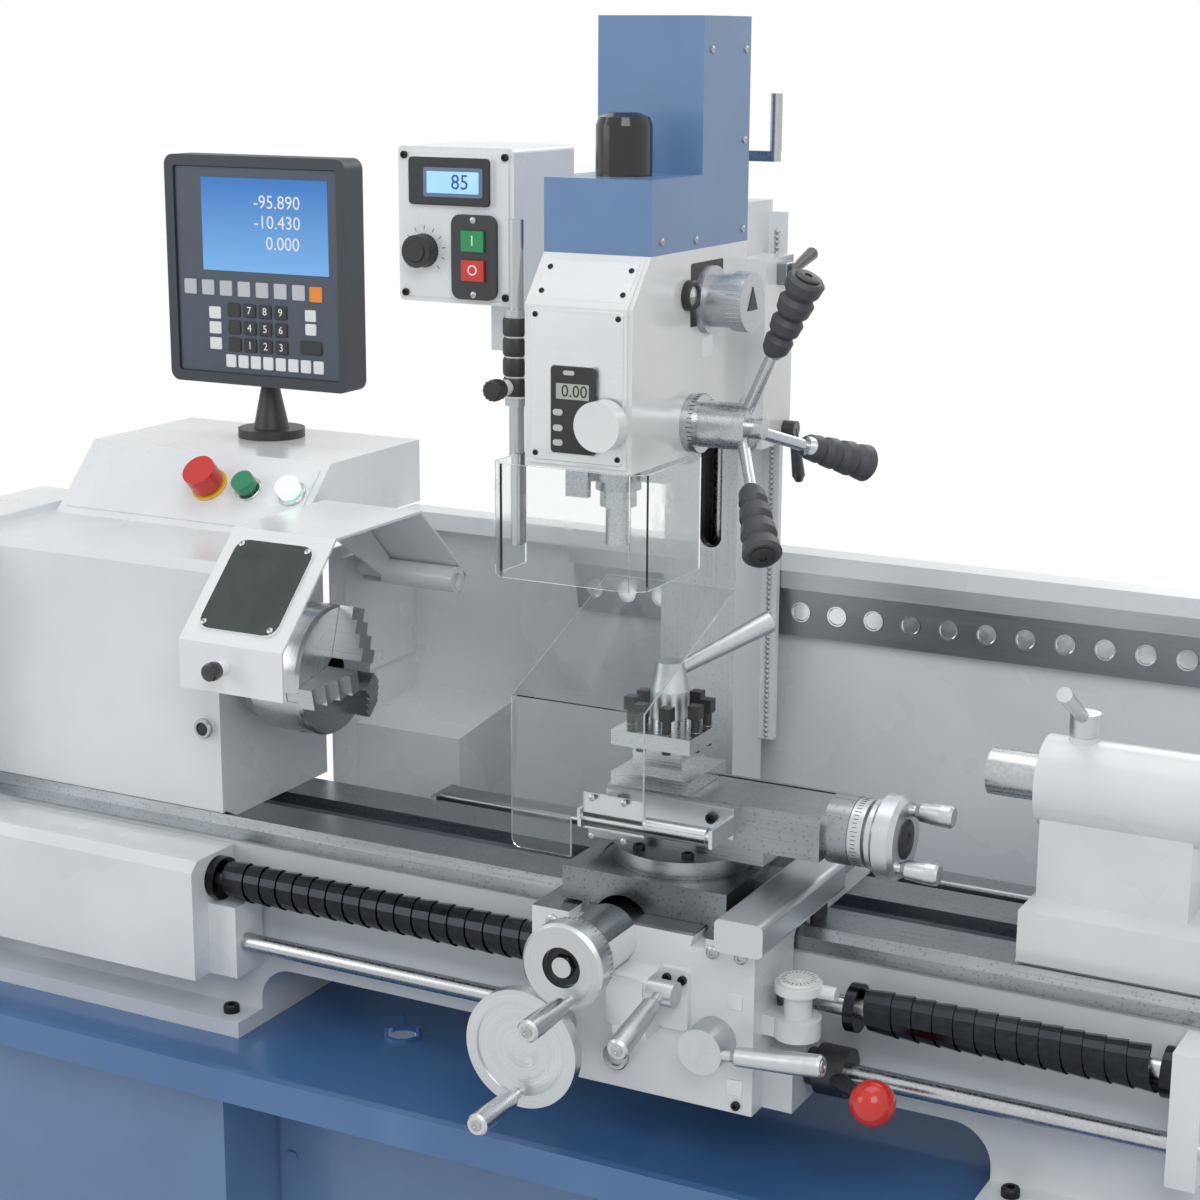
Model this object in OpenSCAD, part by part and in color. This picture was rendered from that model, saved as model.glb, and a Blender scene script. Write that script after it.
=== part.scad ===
// Combination lathe mill on its stand, drawn in millimetres with +Z up.
// X runs along the bed to the tailstock, Y runs away from the operator.
// The origin lies on the floor in the middle of the four anchor bolts.
// Inside place() the zero point is the centre of the chuck's front face, on the spindle axis.

/* [Machine] */
// Height of the spindle axis above the floor
spindle_height = 1090; // [1060:5:1120]
// Distance from the middle of the anchor bolts to the chuck face, towards the headstock
chuck_offset = 270; // [260:1:280]
// Height of the spindle axis above the flat bed way
centre_height = 182; // [180:0.5:184]
// Depth of the bed casting from the flat way to the chip tray
bed_depth = 250; // [245:1:260]

/* [Chuck] */
// Diameter of the three-jaw chuck
chuck_d = 160; // [150:1:165]
// Length of the chuck body
chuck_len = 72; // [68:1:74]
// Radius of the bore through the spindle
spindle_bore_r = 19; // [14:0.5:21]

/* [Mill head] */
// Width of the mill head casting
head_w = 130; // [120:1:134]
// Place of the mill spindle along the bed, from the chuck face
head_x = 386; // [380:1:392]
// Width of the column
column_w = 99; // [90:1:105]
// Radius of the quill
quill_r = 25; // [20:0.5:26]

/* [Carriage] */
// Side of the square four-way tool post
post_side = 93; // [85:1:95]
// Diameter of the carriage handwheel
carriage_wheel_d = 132; // [120:1:136]
// Diameter of the cross-slide handwheel
cross_wheel_d = 94; // [86:1:96]
// Diameter of the top-slide handwheel
top_wheel_d = 90; // [80:1:92]

/* [Sheet metal] */
// Thickness of stand, guard and cover sheets
sheet_t = 3; // [2:0.25:3.5]
// Thickness of the clear plastic guards
clear_t = 4; // [3:0.25:5]

/* [Hidden] */
$fn = 48;

// Clearances and the overrun of cuts
fit_gap = 0.05;
slide_gap = 0.3;
over = 1;

// Main heights, all from the spindle axis
floor_z = -spindle_height;
way_z = -centre_height;
foot_z = way_z - bed_depth;
stand_z = foot_z - sheet_t;

// Shared helpers: a box from corner to corner, and extrusions along each axis
module place() translate([-chuck_offset, 0, spindle_height]) children();
module block(a, b) translate(a) cube(b - a);
module along_x(x0, x1) translate([x0, 0, 0]) rotate([90, 0, 90]) linear_extrude(x1 - x0) children();
module along_y(y0, y1) translate([0, y1, 0]) rotate([90, 0, 0]) linear_extrude(y1 - y0) children();
module along_z(z0, z1) translate([0, 0, z0]) linear_extrude(z1 - z0) children();
module bar_x(x0, x1, y, z, r) translate([x0, y, z]) rotate([0, 90, 0]) cylinder(h = x1 - x0, r = r);
module bar_y(y0, y1, x, z, r) translate([x, y1, z]) rotate([90, 0, 0]) cylinder(h = y1 - y0, r = r);
module bar_z(z0, z1, x, y, r) translate([x, y, z0]) cylinder(h = z1 - z0, r = r);
// A rectangle with round corners, from corner to corner
module round_rect(a, b, r) {
    translate([a[0] + r, a[1]]) square([b[0] - a[0] - 2 * r, b[1] - a[1]]);
    translate([a[0], a[1] + r]) square([b[0] - a[0], b[1] - a[1] - 2 * r]);
    for (x = [a[0] + r, b[0] - r], y = [a[1] + r, b[1] - r]) translate([x, y]) circle(r);
}
// A turned machine handle that stands along +Z, with its round end
handle_neck_r = 6;
handle_belly_r = 12;
handle_end_r = 10;
module turned_handle(len) {
    neck = len * handle_neck_share;
    rotate_extrude() polygon([[0, 0], [handle_neck_r, 0], [handle_neck_r, neck],
        [handle_end_r, neck + handle_neck_r], [handle_belly_r, len * handle_belly_share],
        [handle_belly_r, len - handle_neck_r / 2], [handle_end_r, len], [0, len]]);
}
handle_neck_share = 0.1;
handle_belly_share = 0.7;

// Stand
stand_y = 215;
stand_x0 = -590;
left_stand_x1 = -29;
right_stand_x0 = 885;
stand_x1 = 1130;
lug_w = 60;
lug_out = 50;
lug_t = 10;
lug_y = 170;
anchor_out = 25;
anchor_r = 7;
panel_y = -107;
panel_depth = 15;
panel_z0 = -1060;
door_x1 = 427;
door_top = -462;
door_gap = 2;
pin_r = 3;
knuckle_r = 6;
knuckle_h = 50;
lock_r = 9;
lock_x = -7;
lock_z = -602;

module cabinet(x0, x1) difference() {
    block([x0, -stand_y, floor_z], [x1, stand_y, stand_z]);
    block([x0 + sheet_t, -stand_y + sheet_t, floor_z - over], [x1 - sheet_t, stand_y - sheet_t, stand_z - sheet_t]);
}
module lug(x0, x1, hole_x, y) difference() {
    block([x0, y - lug_w / 2, floor_z], [x1, y + lug_w / 2, floor_z + lug_t]);
    bar_z(floor_z - over, floor_z + lug_t + over, hole_x, y, anchor_r);
}
hinge_x = door_x1 + door_gap;
hinge_y = panel_y - knuckle_r - slide_gap;
leaf_w = 12;
leaf_t = sheet_t + slide_gap;
hinge_zs = [panel_z0 + 2 * knuckle_h, door_top - 3 * knuckle_h];
module stand() color("steelblue") place() {
    cabinet(stand_x0, left_stand_x1);
    cabinet(right_stand_x0, stand_x1);
    for (y = [-lug_y, lug_y]) {
        lug(stand_x0 - lug_out, stand_x0, stand_x0 - anchor_out, y);
        lug(stand_x1, stand_x1 + lug_out, stand_x1 + anchor_out, y);
    }
    // fixed centre panel with its folded edge, and the lower half of each hinge with its pin
    difference() {
        block([hinge_x + door_gap, panel_y, panel_z0], [right_stand_x0, panel_y + panel_depth, stand_z]);
        block([hinge_x + door_gap + sheet_t, panel_y + sheet_t, panel_z0 - over],
            [right_stand_x0 - sheet_t, panel_y + panel_depth + over, stand_z - sheet_t]);
    }
    for (z = hinge_zs) {
        bar_z(z, z + knuckle_h, hinge_x, hinge_y, knuckle_r);
        block([hinge_x, panel_y - leaf_t, z], [hinge_x + leaf_w, panel_y, z + knuckle_h]);
        bar_z(z, z + 2 * knuckle_h - door_gap, hinge_x, hinge_y, pin_r);
    }
    // rail along the top of the door bay, and the door's stop
    block([left_stand_x1, panel_y, door_top + door_gap], [hinge_x + door_gap, panel_y + sheet_t, stand_z]);
    block([left_stand_x1, panel_y + sheet_t + slide_gap, panel_z0], [left_stand_x1 + sheet_t, panel_y + panel_depth, door_top]);
}
module access_door() color("steelblue") place() {
    x0 = left_stand_x1 + door_gap + sheet_t;
    difference() {
        union() {
            block([x0, panel_y, panel_z0], [door_x1, panel_y + sheet_t, door_top]);
            block([x0, panel_y, panel_z0], [x0 + sheet_t, panel_y + panel_depth, door_top]);
            for (z = hinge_zs) {
                z1 = z + knuckle_h + slide_gap;
                bar_z(z1, z1 + knuckle_h, hinge_x, hinge_y, knuckle_r);
                block([hinge_x - leaf_w, panel_y - leaf_t, z1], [hinge_x, panel_y, z1 + knuckle_h]);
            }
            bar_y(panel_y - sheet_t, panel_y + panel_depth, lock_x, lock_z, lock_r);
        }
        for (z = hinge_zs) bar_z(z, z + 3 * knuckle_h, hinge_x, hinge_y, pin_r + fit_gap);
    }
}

// Chip tray
tray_x0 = -605;
tray_x1 = 1145;
tray_y0 = -272;
tray_y1 = 355;
lip_t = 12;
lip_up = 23;
lip_down = 17;
drain_x = 123;
drain_y = -53;
drain_r = 20;
drain_rim = 4;
drain_post_r = 3;
module chip_tray() color("#3f6ea8") place() difference() {
    union() {
        block([tray_x0, tray_y0, stand_z], [tray_x1, tray_y1, foot_z]);
        difference() {
            along_z(stand_z - lip_down, foot_z + lip_up - sheet_t) round_rect([tray_x0, tray_y0], [tray_x1, tray_y1], lip_t);
            block([tray_x0 + lip_t, tray_y0 + lip_t, stand_z - lip_down - over],
                [tray_x1 - lip_t, tray_y1 - lip_t, foot_z + lip_up + over]);
        }
        bar_z(stand_z, foot_z + drain_rim, drain_x, drain_y, drain_r + drain_rim);
        for (a = [0:120:240]) translate([drain_x, drain_y, foot_z]) rotate(a) translate([drain_r + drain_rim / 2, 0, 0])
            cylinder(h = drain_rim * 4, r = drain_post_r);
    }
    bar_z(stand_z - over, foot_z + drain_rim + over, drain_x, drain_y, drain_r);
}

// Bed
bed_x0 = -490;
bed_x1 = 1130;
bed_y0 = -106;
bed_y1 = 100;
v_h = 10;
v_front = 9;
v_back = 19;
face_h = 15;
recess = 5;
front_way_y1 = -13;
rear_way_y0 = 36;
wall_t = 26;
web_drop = 173;
web_z = way_z - web_drop;
rail_h = 22;
rib_t = 14;
rib_drop = 46;
rib_xs = [180, 360, 540, 720];
left_foot_x1 = -47;
right_foot_x0 = 885;
arch_r = 45;
foot_flange = 50;
foot_t = 20;
bed_scale_x0 = 80;
bed_scale_x1 = 1000;
bed_scale_y = 14;
bed_scale_w = 38;
bed_scale_z = -178;
bed_scale_h = 26;
cap_t = 8;
module front_wall() polygon([[bed_y0, web_z], [bed_y0, web_z + rail_h], [bed_y0 + recess, web_z + rail_h + recess],
    [bed_y0 + recess, way_z - face_h - recess], [bed_y0, way_z - face_h], [bed_y0, way_z], [bed_y0 + v_front, way_z + v_h],
    [bed_y0 + v_front + recess / 2, way_z + v_h], [bed_y0 + v_back + recess, way_z], [front_way_y1, way_z],
    [front_way_y1, way_z - face_h], [bed_y0 + 2 * wall_t, way_z - 3 * face_h], [bed_y0 + wall_t, way_z - 4 * face_h],
    [bed_y0 + wall_t, web_z]]);
module rear_wall() polygon([[rear_way_y0, way_z], [bed_y1, way_z], [bed_y1, way_z - face_h],
    [bed_y1 - recess, way_z - face_h - recess], [bed_y1 - recess, web_z + rail_h + recess],
    [bed_y1, web_z + rail_h], [bed_y1, web_z], [bed_y1 - wall_t, web_z],
    [bed_y1 - wall_t, way_z - 3 * face_h], [rear_way_y0, way_z - face_h]]);
module foot(x0, x1) {
    block([x0, bed_y0, foot_z], [x1, bed_y1, web_z + over]);
    block([x0, bed_y0 - foot_flange, foot_z], [x1, bed_y1 + foot_flange, foot_z + foot_t]);
}
module arch_corner(x, side) difference() {
    block([min(x, x + side * arch_r), bed_y0, web_z - arch_r], [max(x, x + side * arch_r), bed_y1, web_z + over]);
    bar_y(bed_y0 - over, bed_y1 + over, x + side * arch_r, web_z - arch_r, arch_r);
}
module bed() color("gainsboro") place() {
    along_x(bed_x0, bed_x1) {
        front_wall();
        rear_wall();
    }
    for (x = concat(rib_xs, [bed_x0, bed_x1 - rib_t]))
        block([x, bed_y0 + wall_t - over, web_z], [x + rib_t, bed_y1 - wall_t + over, way_z - rib_drop]);
    foot(bed_x0, left_foot_x1);
    foot(right_foot_x0, bed_x1);
    arch_corner(left_foot_x1, 1);
    arch_corner(right_foot_x0, -1);
    // cover of the long position scale, with its end caps, on the back of the bed
    translate([0, bed_y1, 0]) {
        along_x(bed_scale_x0, bed_scale_x1)
            round_rect([bed_scale_y, bed_scale_z - bed_scale_h], [bed_scale_y + bed_scale_w, bed_scale_z], recess);
        for (x = [bed_scale_x0 - cap_t, bed_scale_x1])
            block([x, 0, bed_scale_z - bed_scale_h], [x + cap_t, bed_scale_y + bed_scale_w, bed_scale_z]);
    }
}

// Headstock, spindle and chuck
head_x0 = -490;
head_x1 = -105;
head_y0 = -95;
head_y1 = 130;
head_top = 140;
chamfer = 12;
bearing_r = 48;
bearing_t = 28;
spindle_r = 30;
spindle_x0 = -560;
nose_r = 45;
plate_x0 = -92;
plate_r = 72;
jaw_w = 26;
jaw_r0 = 15;
jaw_step = 16;
jaw_heights = [43, 36, 28, 20];
jaw_foot = 10;
jaw_key_w = 12;
jaw_key_d = 18;
jaw_angles = [72, 192, 312];
sight_r = 13;
sight_x = -125;
sight_z = -65;
pulley_r = 70;
pulley_w = 34;
groove_d = 9;
chuck_r = chuck_d / 2;
module headstock() color("gainsboro") place() difference() {
    union() {
        along_x(head_x0, head_x1) polygon([[head_y0, way_z], [head_y0, head_top - chamfer], [head_y0 + chamfer, head_top],
            [head_y1 - chamfer, head_top], [head_y1, head_top - chamfer], [head_y1, way_z]]);
        bar_y(head_y0 - recess, head_y0 + over, sight_x, sight_z, sight_r);
    }
    // V way clearance, the bearing seats and the space between them
    along_x(head_x0 - over, head_x1 + over) polygon([[bed_y0 - over, way_z - over], [bed_y0 - over, way_z],
        [bed_y0 + v_front, way_z + v_h + slide_gap], [bed_y0 + v_back, way_z + v_h + slide_gap],
        [bed_y0 + 2 * v_back, way_z - over]]);
    bar_x(head_x0 - over, head_x1 + over, 0, 0, bearing_r);
}
module spindle() color("silver") place() {
    difference() {
        union() {
            bar_x(spindle_x0, plate_x0, 0, 0, spindle_r);
            bar_x(head_x1 + slide_gap, plate_x0, 0, 0, nose_r);
            bar_x(plate_x0, -chuck_len, 0, 0, plate_r);
            // belt pulley on the rear end, under the end cover
            translate([spindle_x0 + pulley_w / 4, 0, 0]) rotate([0, 90, 0]) rotate_extrude() polygon([[0, 0],
                [pulley_r, 0], [pulley_r - groove_d, pulley_w / 4], [pulley_r, pulley_w / 2],
                [pulley_r - groove_d, 3 * pulley_w / 4], [pulley_r, pulley_w], [0, pulley_w]]);
        }
        bar_x(spindle_x0 - over, over, 0, 0, spindle_bore_r);
    }
    // the rings of the two spindle bearings
    for (x = [head_x0, head_x1 - bearing_t]) difference() {
        bar_x(x, x + bearing_t, 0, 0, bearing_r - fit_gap);
        bar_x(x - over, x + bearing_t + over, 0, 0, spindle_r - over);
    }
}
// One slot of the chuck face and its jaw both lie along +Y before they are turned
module jaw_slot(grow) {
    block([-jaw_key_d - grow, 0, -jaw_key_w / 2 - grow], [over, chuck_r + over, jaw_key_w / 2 + grow]);
}
module chuck() color("#9aa0a4") place() difference() {
    rotate([0, 90, 0]) translate([0, 0, -chuck_len]) rotate_extrude() polygon([[spindle_bore_r, 0], [chuck_r, 0],
        [chuck_r, chuck_len - recess], [chuck_r - recess / 2, chuck_len], [spindle_bore_r, chuck_len]]);
    for (a = jaw_angles) rotate([a, 0, 0]) jaw_slot(slide_gap);
}
module jaw(angle) color("#8a8f93") place() rotate([angle, 0, 0]) {
    block([-jaw_key_d, jaw_r0 + spindle_bore_r / 2, -jaw_key_w / 2], [over, chuck_r - over, jaw_key_w / 2]);
    for (i = [0:len(jaw_heights) - 1])
        block([slide_gap, jaw_r0 + i * jaw_step, -jaw_w / 2],
            [jaw_heights[i], jaw_r0 + (i + 1) * jaw_step + over / 2, jaw_w / 2]);
}
module jaw_1() jaw(jaw_angles[0]);
module jaw_2() jaw(jaw_angles[1]);
module jaw_3() jaw(jaw_angles[2]);

// End cover over the belt side of the headstock
cover_x0 = -580;
cover_y = 190;
cover_top = 150;
cover_low = foot_z + lip_up + foot_t;
cover_t = sheet_t;
module gear_cover() color("gainsboro") place() difference() {
    along_x(cover_x0, head_x0) round_rect([-cover_y, cover_low], [cover_y, cover_top], arch_r);
    along_x(cover_x0 + cover_t, head_x0 - cover_t)
        round_rect([-cover_y + cover_t, cover_low + cover_t], [cover_y - cover_t, cover_top - cover_t], arch_r - cover_t);
    bar_x(head_x0 - 2 * cover_t, head_x0 + over, 0, 0, bearing_r);
    bar_x(cover_x0 - over, cover_x0 + 2 * cover_t, 0, 0, spindle_bore_r + recess);
}

// Chuck guard: a bent hood with a window, hinged on a tube at its back
guard_x0 = -89;
guard_x1 = 56;
hood_y0 = -189;
hood_z0 = 14;
hood_bend_z = 72;
hood_top_y0 = -75;
hood_top = 184;
hood_top_y1 = 112;
hood_wing_y = 224;
hood_wing_z = 80;
hood_lip_y = 205;
hood_lip_z = 61;
window_side = 26;
window_in = 26;
window_lap = 9;
hood_pin_y = 196;
hood_pin_z = 80;
hood_pin_r = 9;
hood_tube_r = 16.5;
arm_x = -50;
arm_t = 5;
knob_r = 9;
knob_len = 28;
hood_knob_x = -25;
hood_knob_z = 46;
pivot_plate_t = 6;
pivot_plate_y0 = 160;
pivot_plate_y1 = 322;
pivot_plate_z0 = -62;
pivot_plate_z1 = 100;
plate_hole_r = 6;
plate_hole_in = 14;
// the hood's bent section, in Y and Z, and the same section moved inwards by the sheet
module hood_section() polygon([[hood_y0, hood_z0], [hood_y0, hood_bend_z], [hood_top_y0, hood_top],
    [hood_top_y1, hood_top], [hood_wing_y, hood_wing_z], [hood_lip_y, hood_lip_z],
    [hood_lip_y - sheet_t * 0.7, hood_lip_z + sheet_t * 0.7], [hood_wing_y - sheet_t * 1.4, hood_wing_z],
    [hood_top_y1 - sheet_t / 2, hood_top - sheet_t], [hood_top_y0 + sheet_t / 2, hood_top - sheet_t],
    [hood_y0 + sheet_t, hood_bend_z - sheet_t / 2], [hood_y0 + sheet_t, hood_z0]]);
slope_run = hood_top_y0 - hood_y0;
slope_rise = hood_top - hood_bend_z;
slope_len = sqrt(slope_run * slope_run + slope_rise * slope_rise);
slope_turn = atan2(slope_rise, slope_run);
module on_slope() translate([0, hood_y0, hood_bend_z]) rotate([slope_turn, 0, 0]) children();
module chuck_guard() color("white") place() {
    difference() {
        union() {
            along_x(guard_x0, guard_x1) hood_section();
            // the gusset that stiffens the hood, and the tube that turns on the pivot pin
            along_x(arm_x, arm_x + arm_t) polygon([[hood_top_y0 / 2 + hood_top_y1 / 2, hood_top - sheet_t / 2], [hood_top_y1, hood_top - sheet_t / 2],
                [hood_pin_y + hood_tube_r / 2, hood_pin_z + hood_tube_r / 2], [hood_pin_y - hood_tube_r / 2, hood_pin_z - hood_tube_r / 2]]);
            bar_x(arm_x, guard_x1, hood_pin_y, hood_pin_z, hood_tube_r);
        }
        on_slope() along_z(-4 * sheet_t, sheet_t)
            round_rect([guard_x0 + window_side, window_in], [guard_x1 - window_side, slope_len - window_in], window_in / 2);
        bar_x(guard_x0 - over, guard_x1 + over, hood_pin_y, hood_pin_z, hood_pin_r + fit_gap);
    }
    on_slope() along_z(0, sheet_t)
        round_rect([guard_x0 + window_side - window_lap, window_in - window_lap],
            [guard_x1 - window_side + window_lap, slope_len - window_in + window_lap], window_in / 2);
    bar_y(hood_y0 - knob_len, hood_y0, hood_knob_x, hood_knob_z, knob_r);
}

// Splash guard behind the bed, with its end panel, the box over the drive and the top channel
splash_x1 = 1110;
splash_y = 340;
splash_top = 138;
channel_y0 = 304;
channel_h = 23;
end_panel_x = head_x1 + pivot_plate_t;
end_panel_y0 = 135;
bump_x1 = 60;
bump_y0 = 190;
bump_front_z = -130;
bump_back_z = -112;
tray_flange = 30;
module splash_guard() color("#e4e7ea") place() {
    difference() {
        union() {
            block([end_panel_x, splash_y, foot_z], [splash_x1, splash_y + sheet_t, splash_top]);
            block([end_panel_x, channel_y0, splash_top - channel_h], [splash_x1, splash_y + sheet_t, splash_top]);
            block([end_panel_x, splash_y - tray_flange, foot_z], [splash_x1, splash_y, foot_z + sheet_t]);
            block([end_panel_x, end_panel_y0, foot_z], [end_panel_x + sheet_t, splash_y + sheet_t, splash_top - channel_h]);
            along_x(end_panel_x, bump_x1) polygon([[bump_y0, foot_z], [bump_y0, bump_front_z],
                [splash_y, bump_back_z], [splash_y, foot_z]]);
        }
        block([end_panel_x - over, end_panel_y0 - over, foot_z - over],
            [end_panel_x + sheet_t + over, bed_y1 + foot_flange + slide_gap, foot_z + foot_t + slide_gap]);
        block([end_panel_x + sheet_t, channel_y0 + sheet_t, splash_top - channel_h - over],
            [splash_x1 + over, splash_y, splash_top - sheet_t]);
        along_x(end_panel_x + sheet_t, bump_x1 - sheet_t) polygon([[bump_y0 + sheet_t, foot_z + sheet_t],
            [bump_y0 + sheet_t, bump_front_z - sheet_t], [splash_y, bump_back_z - sheet_t], [splash_y, foot_z + sheet_t]]);
    }
    // plate and pin that the chuck guard turns on
    difference() {
        block([end_panel_x + sheet_t, pivot_plate_y0, pivot_plate_z0], [end_panel_x + sheet_t + pivot_plate_t, pivot_plate_y1, pivot_plate_z1]);
        for (y = [pivot_plate_y1 - plate_hole_in, pivot_plate_y0 / 2 + pivot_plate_y1 / 2])
            bar_x(end_panel_x + sheet_t + pivot_plate_t / 2, end_panel_x + 2 * pivot_plate_t + sheet_t, y, pivot_plate_z0 + plate_hole_in, plate_hole_r);
    }
    bar_x(end_panel_x + sheet_t + pivot_plate_t, guard_x1 - recess, hood_pin_y, hood_pin_z, hood_pin_r);
}

// Lamp bar under the channel, with its row of reflectors
lamp_x0 = 160;
lamp_x1 = 1090;
lamp_y0 = 304;
lamp_z0 = 28;
lamp_rail_h = 22;
lamp_pitch = 48;
lamp_first = 188.7;
lamp_r = 13;
lamp_depth = 12;
lamp_face_in = 12;
lamp_top = splash_top - channel_h;
module led_lamp() color("#b9bec2") place() difference() {
    along_x(lamp_x0, lamp_x1) polygon([[splash_y, lamp_z0], [lamp_y0 + 2 * lamp_face_in, lamp_z0],
        [lamp_y0 + lamp_face_in, lamp_top - lamp_rail_h], [lamp_y0, lamp_top - lamp_rail_h],
        [lamp_y0, lamp_top], [splash_y, lamp_top]]);
    for (x = [lamp_first:lamp_pitch:lamp_x1 - lamp_r])
        bar_y(lamp_y0, lamp_y0 + lamp_face_in + lamp_depth + lamp_face_in / 2, x, (lamp_z0 + lamp_top - lamp_rail_h) / 2, lamp_r);
}

// Electrical cabinet on the headstock, with a sloping button panel
cab_x0 = -480;
cab_x1 = head_x1 + pivot_plate_t - slide_gap;
cab_y0 = 62;
cab_slope = 84;
cab_y1 = 357;
cab_top = 224;
cab_back_z = head_top;
panel_edge = 10;
panel_proud = 2;
button_r = 15;
button_up_share = 0.55;
stop_x = -261;
green_x = -200;
lamp_x = -132;
button_bore_r = 11;
bezel_r = 17;
bezel_h = 3;
module on_panel(x) translate([x, cab_y0 + cab_slope * button_up_share, cab_back_z + cab_slope * button_up_share])
    rotate([45, 0, 0]) children();
module electrical_cabinet() color("white") place() difference() {
    union() {
        along_x(cab_x0, cab_x1) polygon([[cab_y0, cab_back_z], [cab_y0 + cab_slope, cab_top], [cab_y1, cab_top], [cab_y1, cab_back_z]]);
        translate([0, cab_y0, cab_back_z]) rotate([45, 0, 0]) along_z(0, panel_proud)
            round_rect([cab_x0 + panel_edge, panel_edge], [cab_x1 - panel_edge, cab_slope * sqrt(2) - panel_edge], panel_edge / 2);
        for (x = [stop_x, green_x, lamp_x]) on_panel(x) cylinder(h = panel_proud + bezel_h, r = bezel_r);
    }
    for (x = [stop_x, green_x, lamp_x]) on_panel(x) translate([0, 0, -3 * button_r]) cylinder(h = 4 * button_r, r = button_bore_r);
}
stop_cap_r = 22;
stop_h = 26;
button_h = 13;
press = 5;
module push(x, cap_r, cap_h) place() on_panel(x) {
    translate([0, 0, -2 * button_r]) cylinder(h = 2 * button_r + panel_proud + bezel_h + press + over, r = button_bore_r - fit_gap);
    translate([0, 0, panel_proud + bezel_h + press + slide_gap]) cylinder(h = cap_h, r = cap_r);
}
module emergency_stop() color("red") push(stop_x, stop_cap_r, stop_h);
module green_button() color("green") push(green_x, button_r, button_h);
module lamp_button() color("#e8fff0") push(lamp_x, button_r, button_h);

// Position display on its stand
dro_x = -289;
dro_y = 284;
dro_flange_r = 45;
dro_flange_h = 12;
dro_neck_r = 12;
dro_cone_r = 24;
dro_cone_h = 58;
dro_w = 286;
dro_h = 300;
dro_cx = -268;
dro_y0 = 228;
dro_d = 42;
dro_z0 = 300;
dro_edge = 14;
dro_bezel = 4;
dro_post_r = 10;
dro_yoke = 26;
module dro_stand() color("#3a3d40") place() {
    bar_z(cab_top, cab_top + dro_flange_h, dro_x, dro_y, dro_flange_r);
    translate([dro_x, dro_y, cab_top + dro_flange_h]) cylinder(h = dro_cone_h, r1 = dro_cone_r, r2 = dro_neck_r);
    bar_z(cab_top + dro_flange_h + dro_cone_h, dro_z0 + 2 * dro_edge, dro_x, dro_y, dro_post_r);
}
lcd_w = 199;
lcd_h = 112;
keypad_drop = 8;
module dro_display() color("#4a4e53") place() difference() {
    union() {
        along_y(dro_y0, dro_y0 + dro_d)
            round_rect([dro_cx - dro_w / 2, dro_z0], [dro_cx + dro_w / 2, dro_z0 + dro_h], dro_edge);
        // socket that turns on the stand's post
        bar_z(dro_z0, dro_z0 + 3 * dro_edge, dro_x, dro_y, dro_post_r + dro_bezel);
        block([dro_x - dro_post_r, dro_y0 + dro_d - over, dro_z0], [dro_x + dro_post_r, dro_y, dro_z0 + 3 * dro_edge]);
    }
    translate([0, 0, dro_z0]) along_y(dro_y0 - over, dro_y0 + dro_bezel)
        round_rect([dro_cx - dro_w / 2 + dro_edge, dro_edge], [dro_cx + dro_w / 2 - dro_edge, dro_h - dro_edge], dro_bezel);
    bar_z(dro_z0 - over, dro_z0 + 2 * dro_edge + slide_gap, dro_x, dro_y, dro_post_r + fit_gap);
}

// Column with its foot bracket, slot, inner screw space and cap
col_x0 = head_x - column_w / 2;
col_x1 = head_x + column_w / 2;
col_y0 = 215;
col_y1 = 302;
col_wall = 12;
col_z0 = -206;
col_top = 552;
slot_x = 401;
slot_r = 14;
slot_z0 = 155;
slot_z1 = 500;
bracket_z0 = -335;
bracket_over = 20;
bracket_t = 22;
screw_x = 388;
screw_y = 268;
screw_r = 11;
strip_w = 20;
strip_t = 10;
strip_z0 = -100;
col_cap_t = 14;
module column() color("#a9adb0") place() difference() {
    union() {
        block([col_x0, col_y0, col_z0], [col_x1, col_y1, col_top]);
        block([col_x0 + slide_gap, col_y0 + slide_gap, col_top], [col_x1 - slide_gap, col_y1, col_top + col_cap_t]);
        block([col_x1, col_y1 - strip_t, strip_z0], [col_x1 + strip_w, col_y1, col_top]);
        // bracket that carries the column from the back of the bed
        block([col_x0 - bracket_over, bed_y1 + slide_gap, bracket_z0], [col_x1 + bracket_over, bed_y1 + bracket_t, col_z0]);
        block([col_x0 - bracket_over, bed_y1 + slide_gap, col_z0 - bracket_t], [col_x1 + bracket_over, col_y1, col_z0]);
        for (x = [col_x0 - bracket_over, col_x1 + bracket_over - bracket_t]) along_x(x, x + bracket_t)
            polygon([[bed_y1 + bracket_t, bracket_z0], [bed_y1 + bracket_t, col_z0], [col_y1, col_z0], [col_y1, col_z0 - bracket_t]]);
    }
    block([col_x0 + col_wall, col_y0 + col_wall, col_z0 + col_wall], [col_x1 - col_wall, col_y1 - col_wall, col_top - over]);
    along_y(col_y0 - over, col_y0 + col_wall + over)
        round_rect([slot_x - slot_r, slot_z0], [slot_x + slot_r, slot_z1], slot_r - over);
    bar_z(col_top - 2 * over, col_top + col_cap_t + over, screw_x, screw_y, screw_r + fit_gap);
}
crank_z = 612;
crank_r = 64;
crank_hub_r = 15;
crank_t = 12;
crank_handle_r = 7;
crank_handle_h = 66;
module column_crank() color("silver") place() {
    bar_z(col_z0 + col_wall + slide_gap, crank_z, screw_x, screw_y, screw_r);
    bar_z(crank_z - crank_hub_r, crank_z + crank_t, screw_x, screw_y, crank_hub_r);
    bar_z(col_top + col_cap_t + slide_gap, col_top + col_cap_t + crank_t, screw_x, screw_y, crank_hub_r);
    along_z(crank_z, crank_z + crank_t) round_rect([screw_x - crank_t, screw_y - crank_t / 2 - over],
        [screw_x + crank_r + crank_t / 2, screw_y + crank_t / 2 + over], crank_t / 2);
    bar_z(crank_z + crank_t, crank_z + crank_t + crank_handle_h, screw_x + crank_r, screw_y, crank_handle_r);
}

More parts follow.
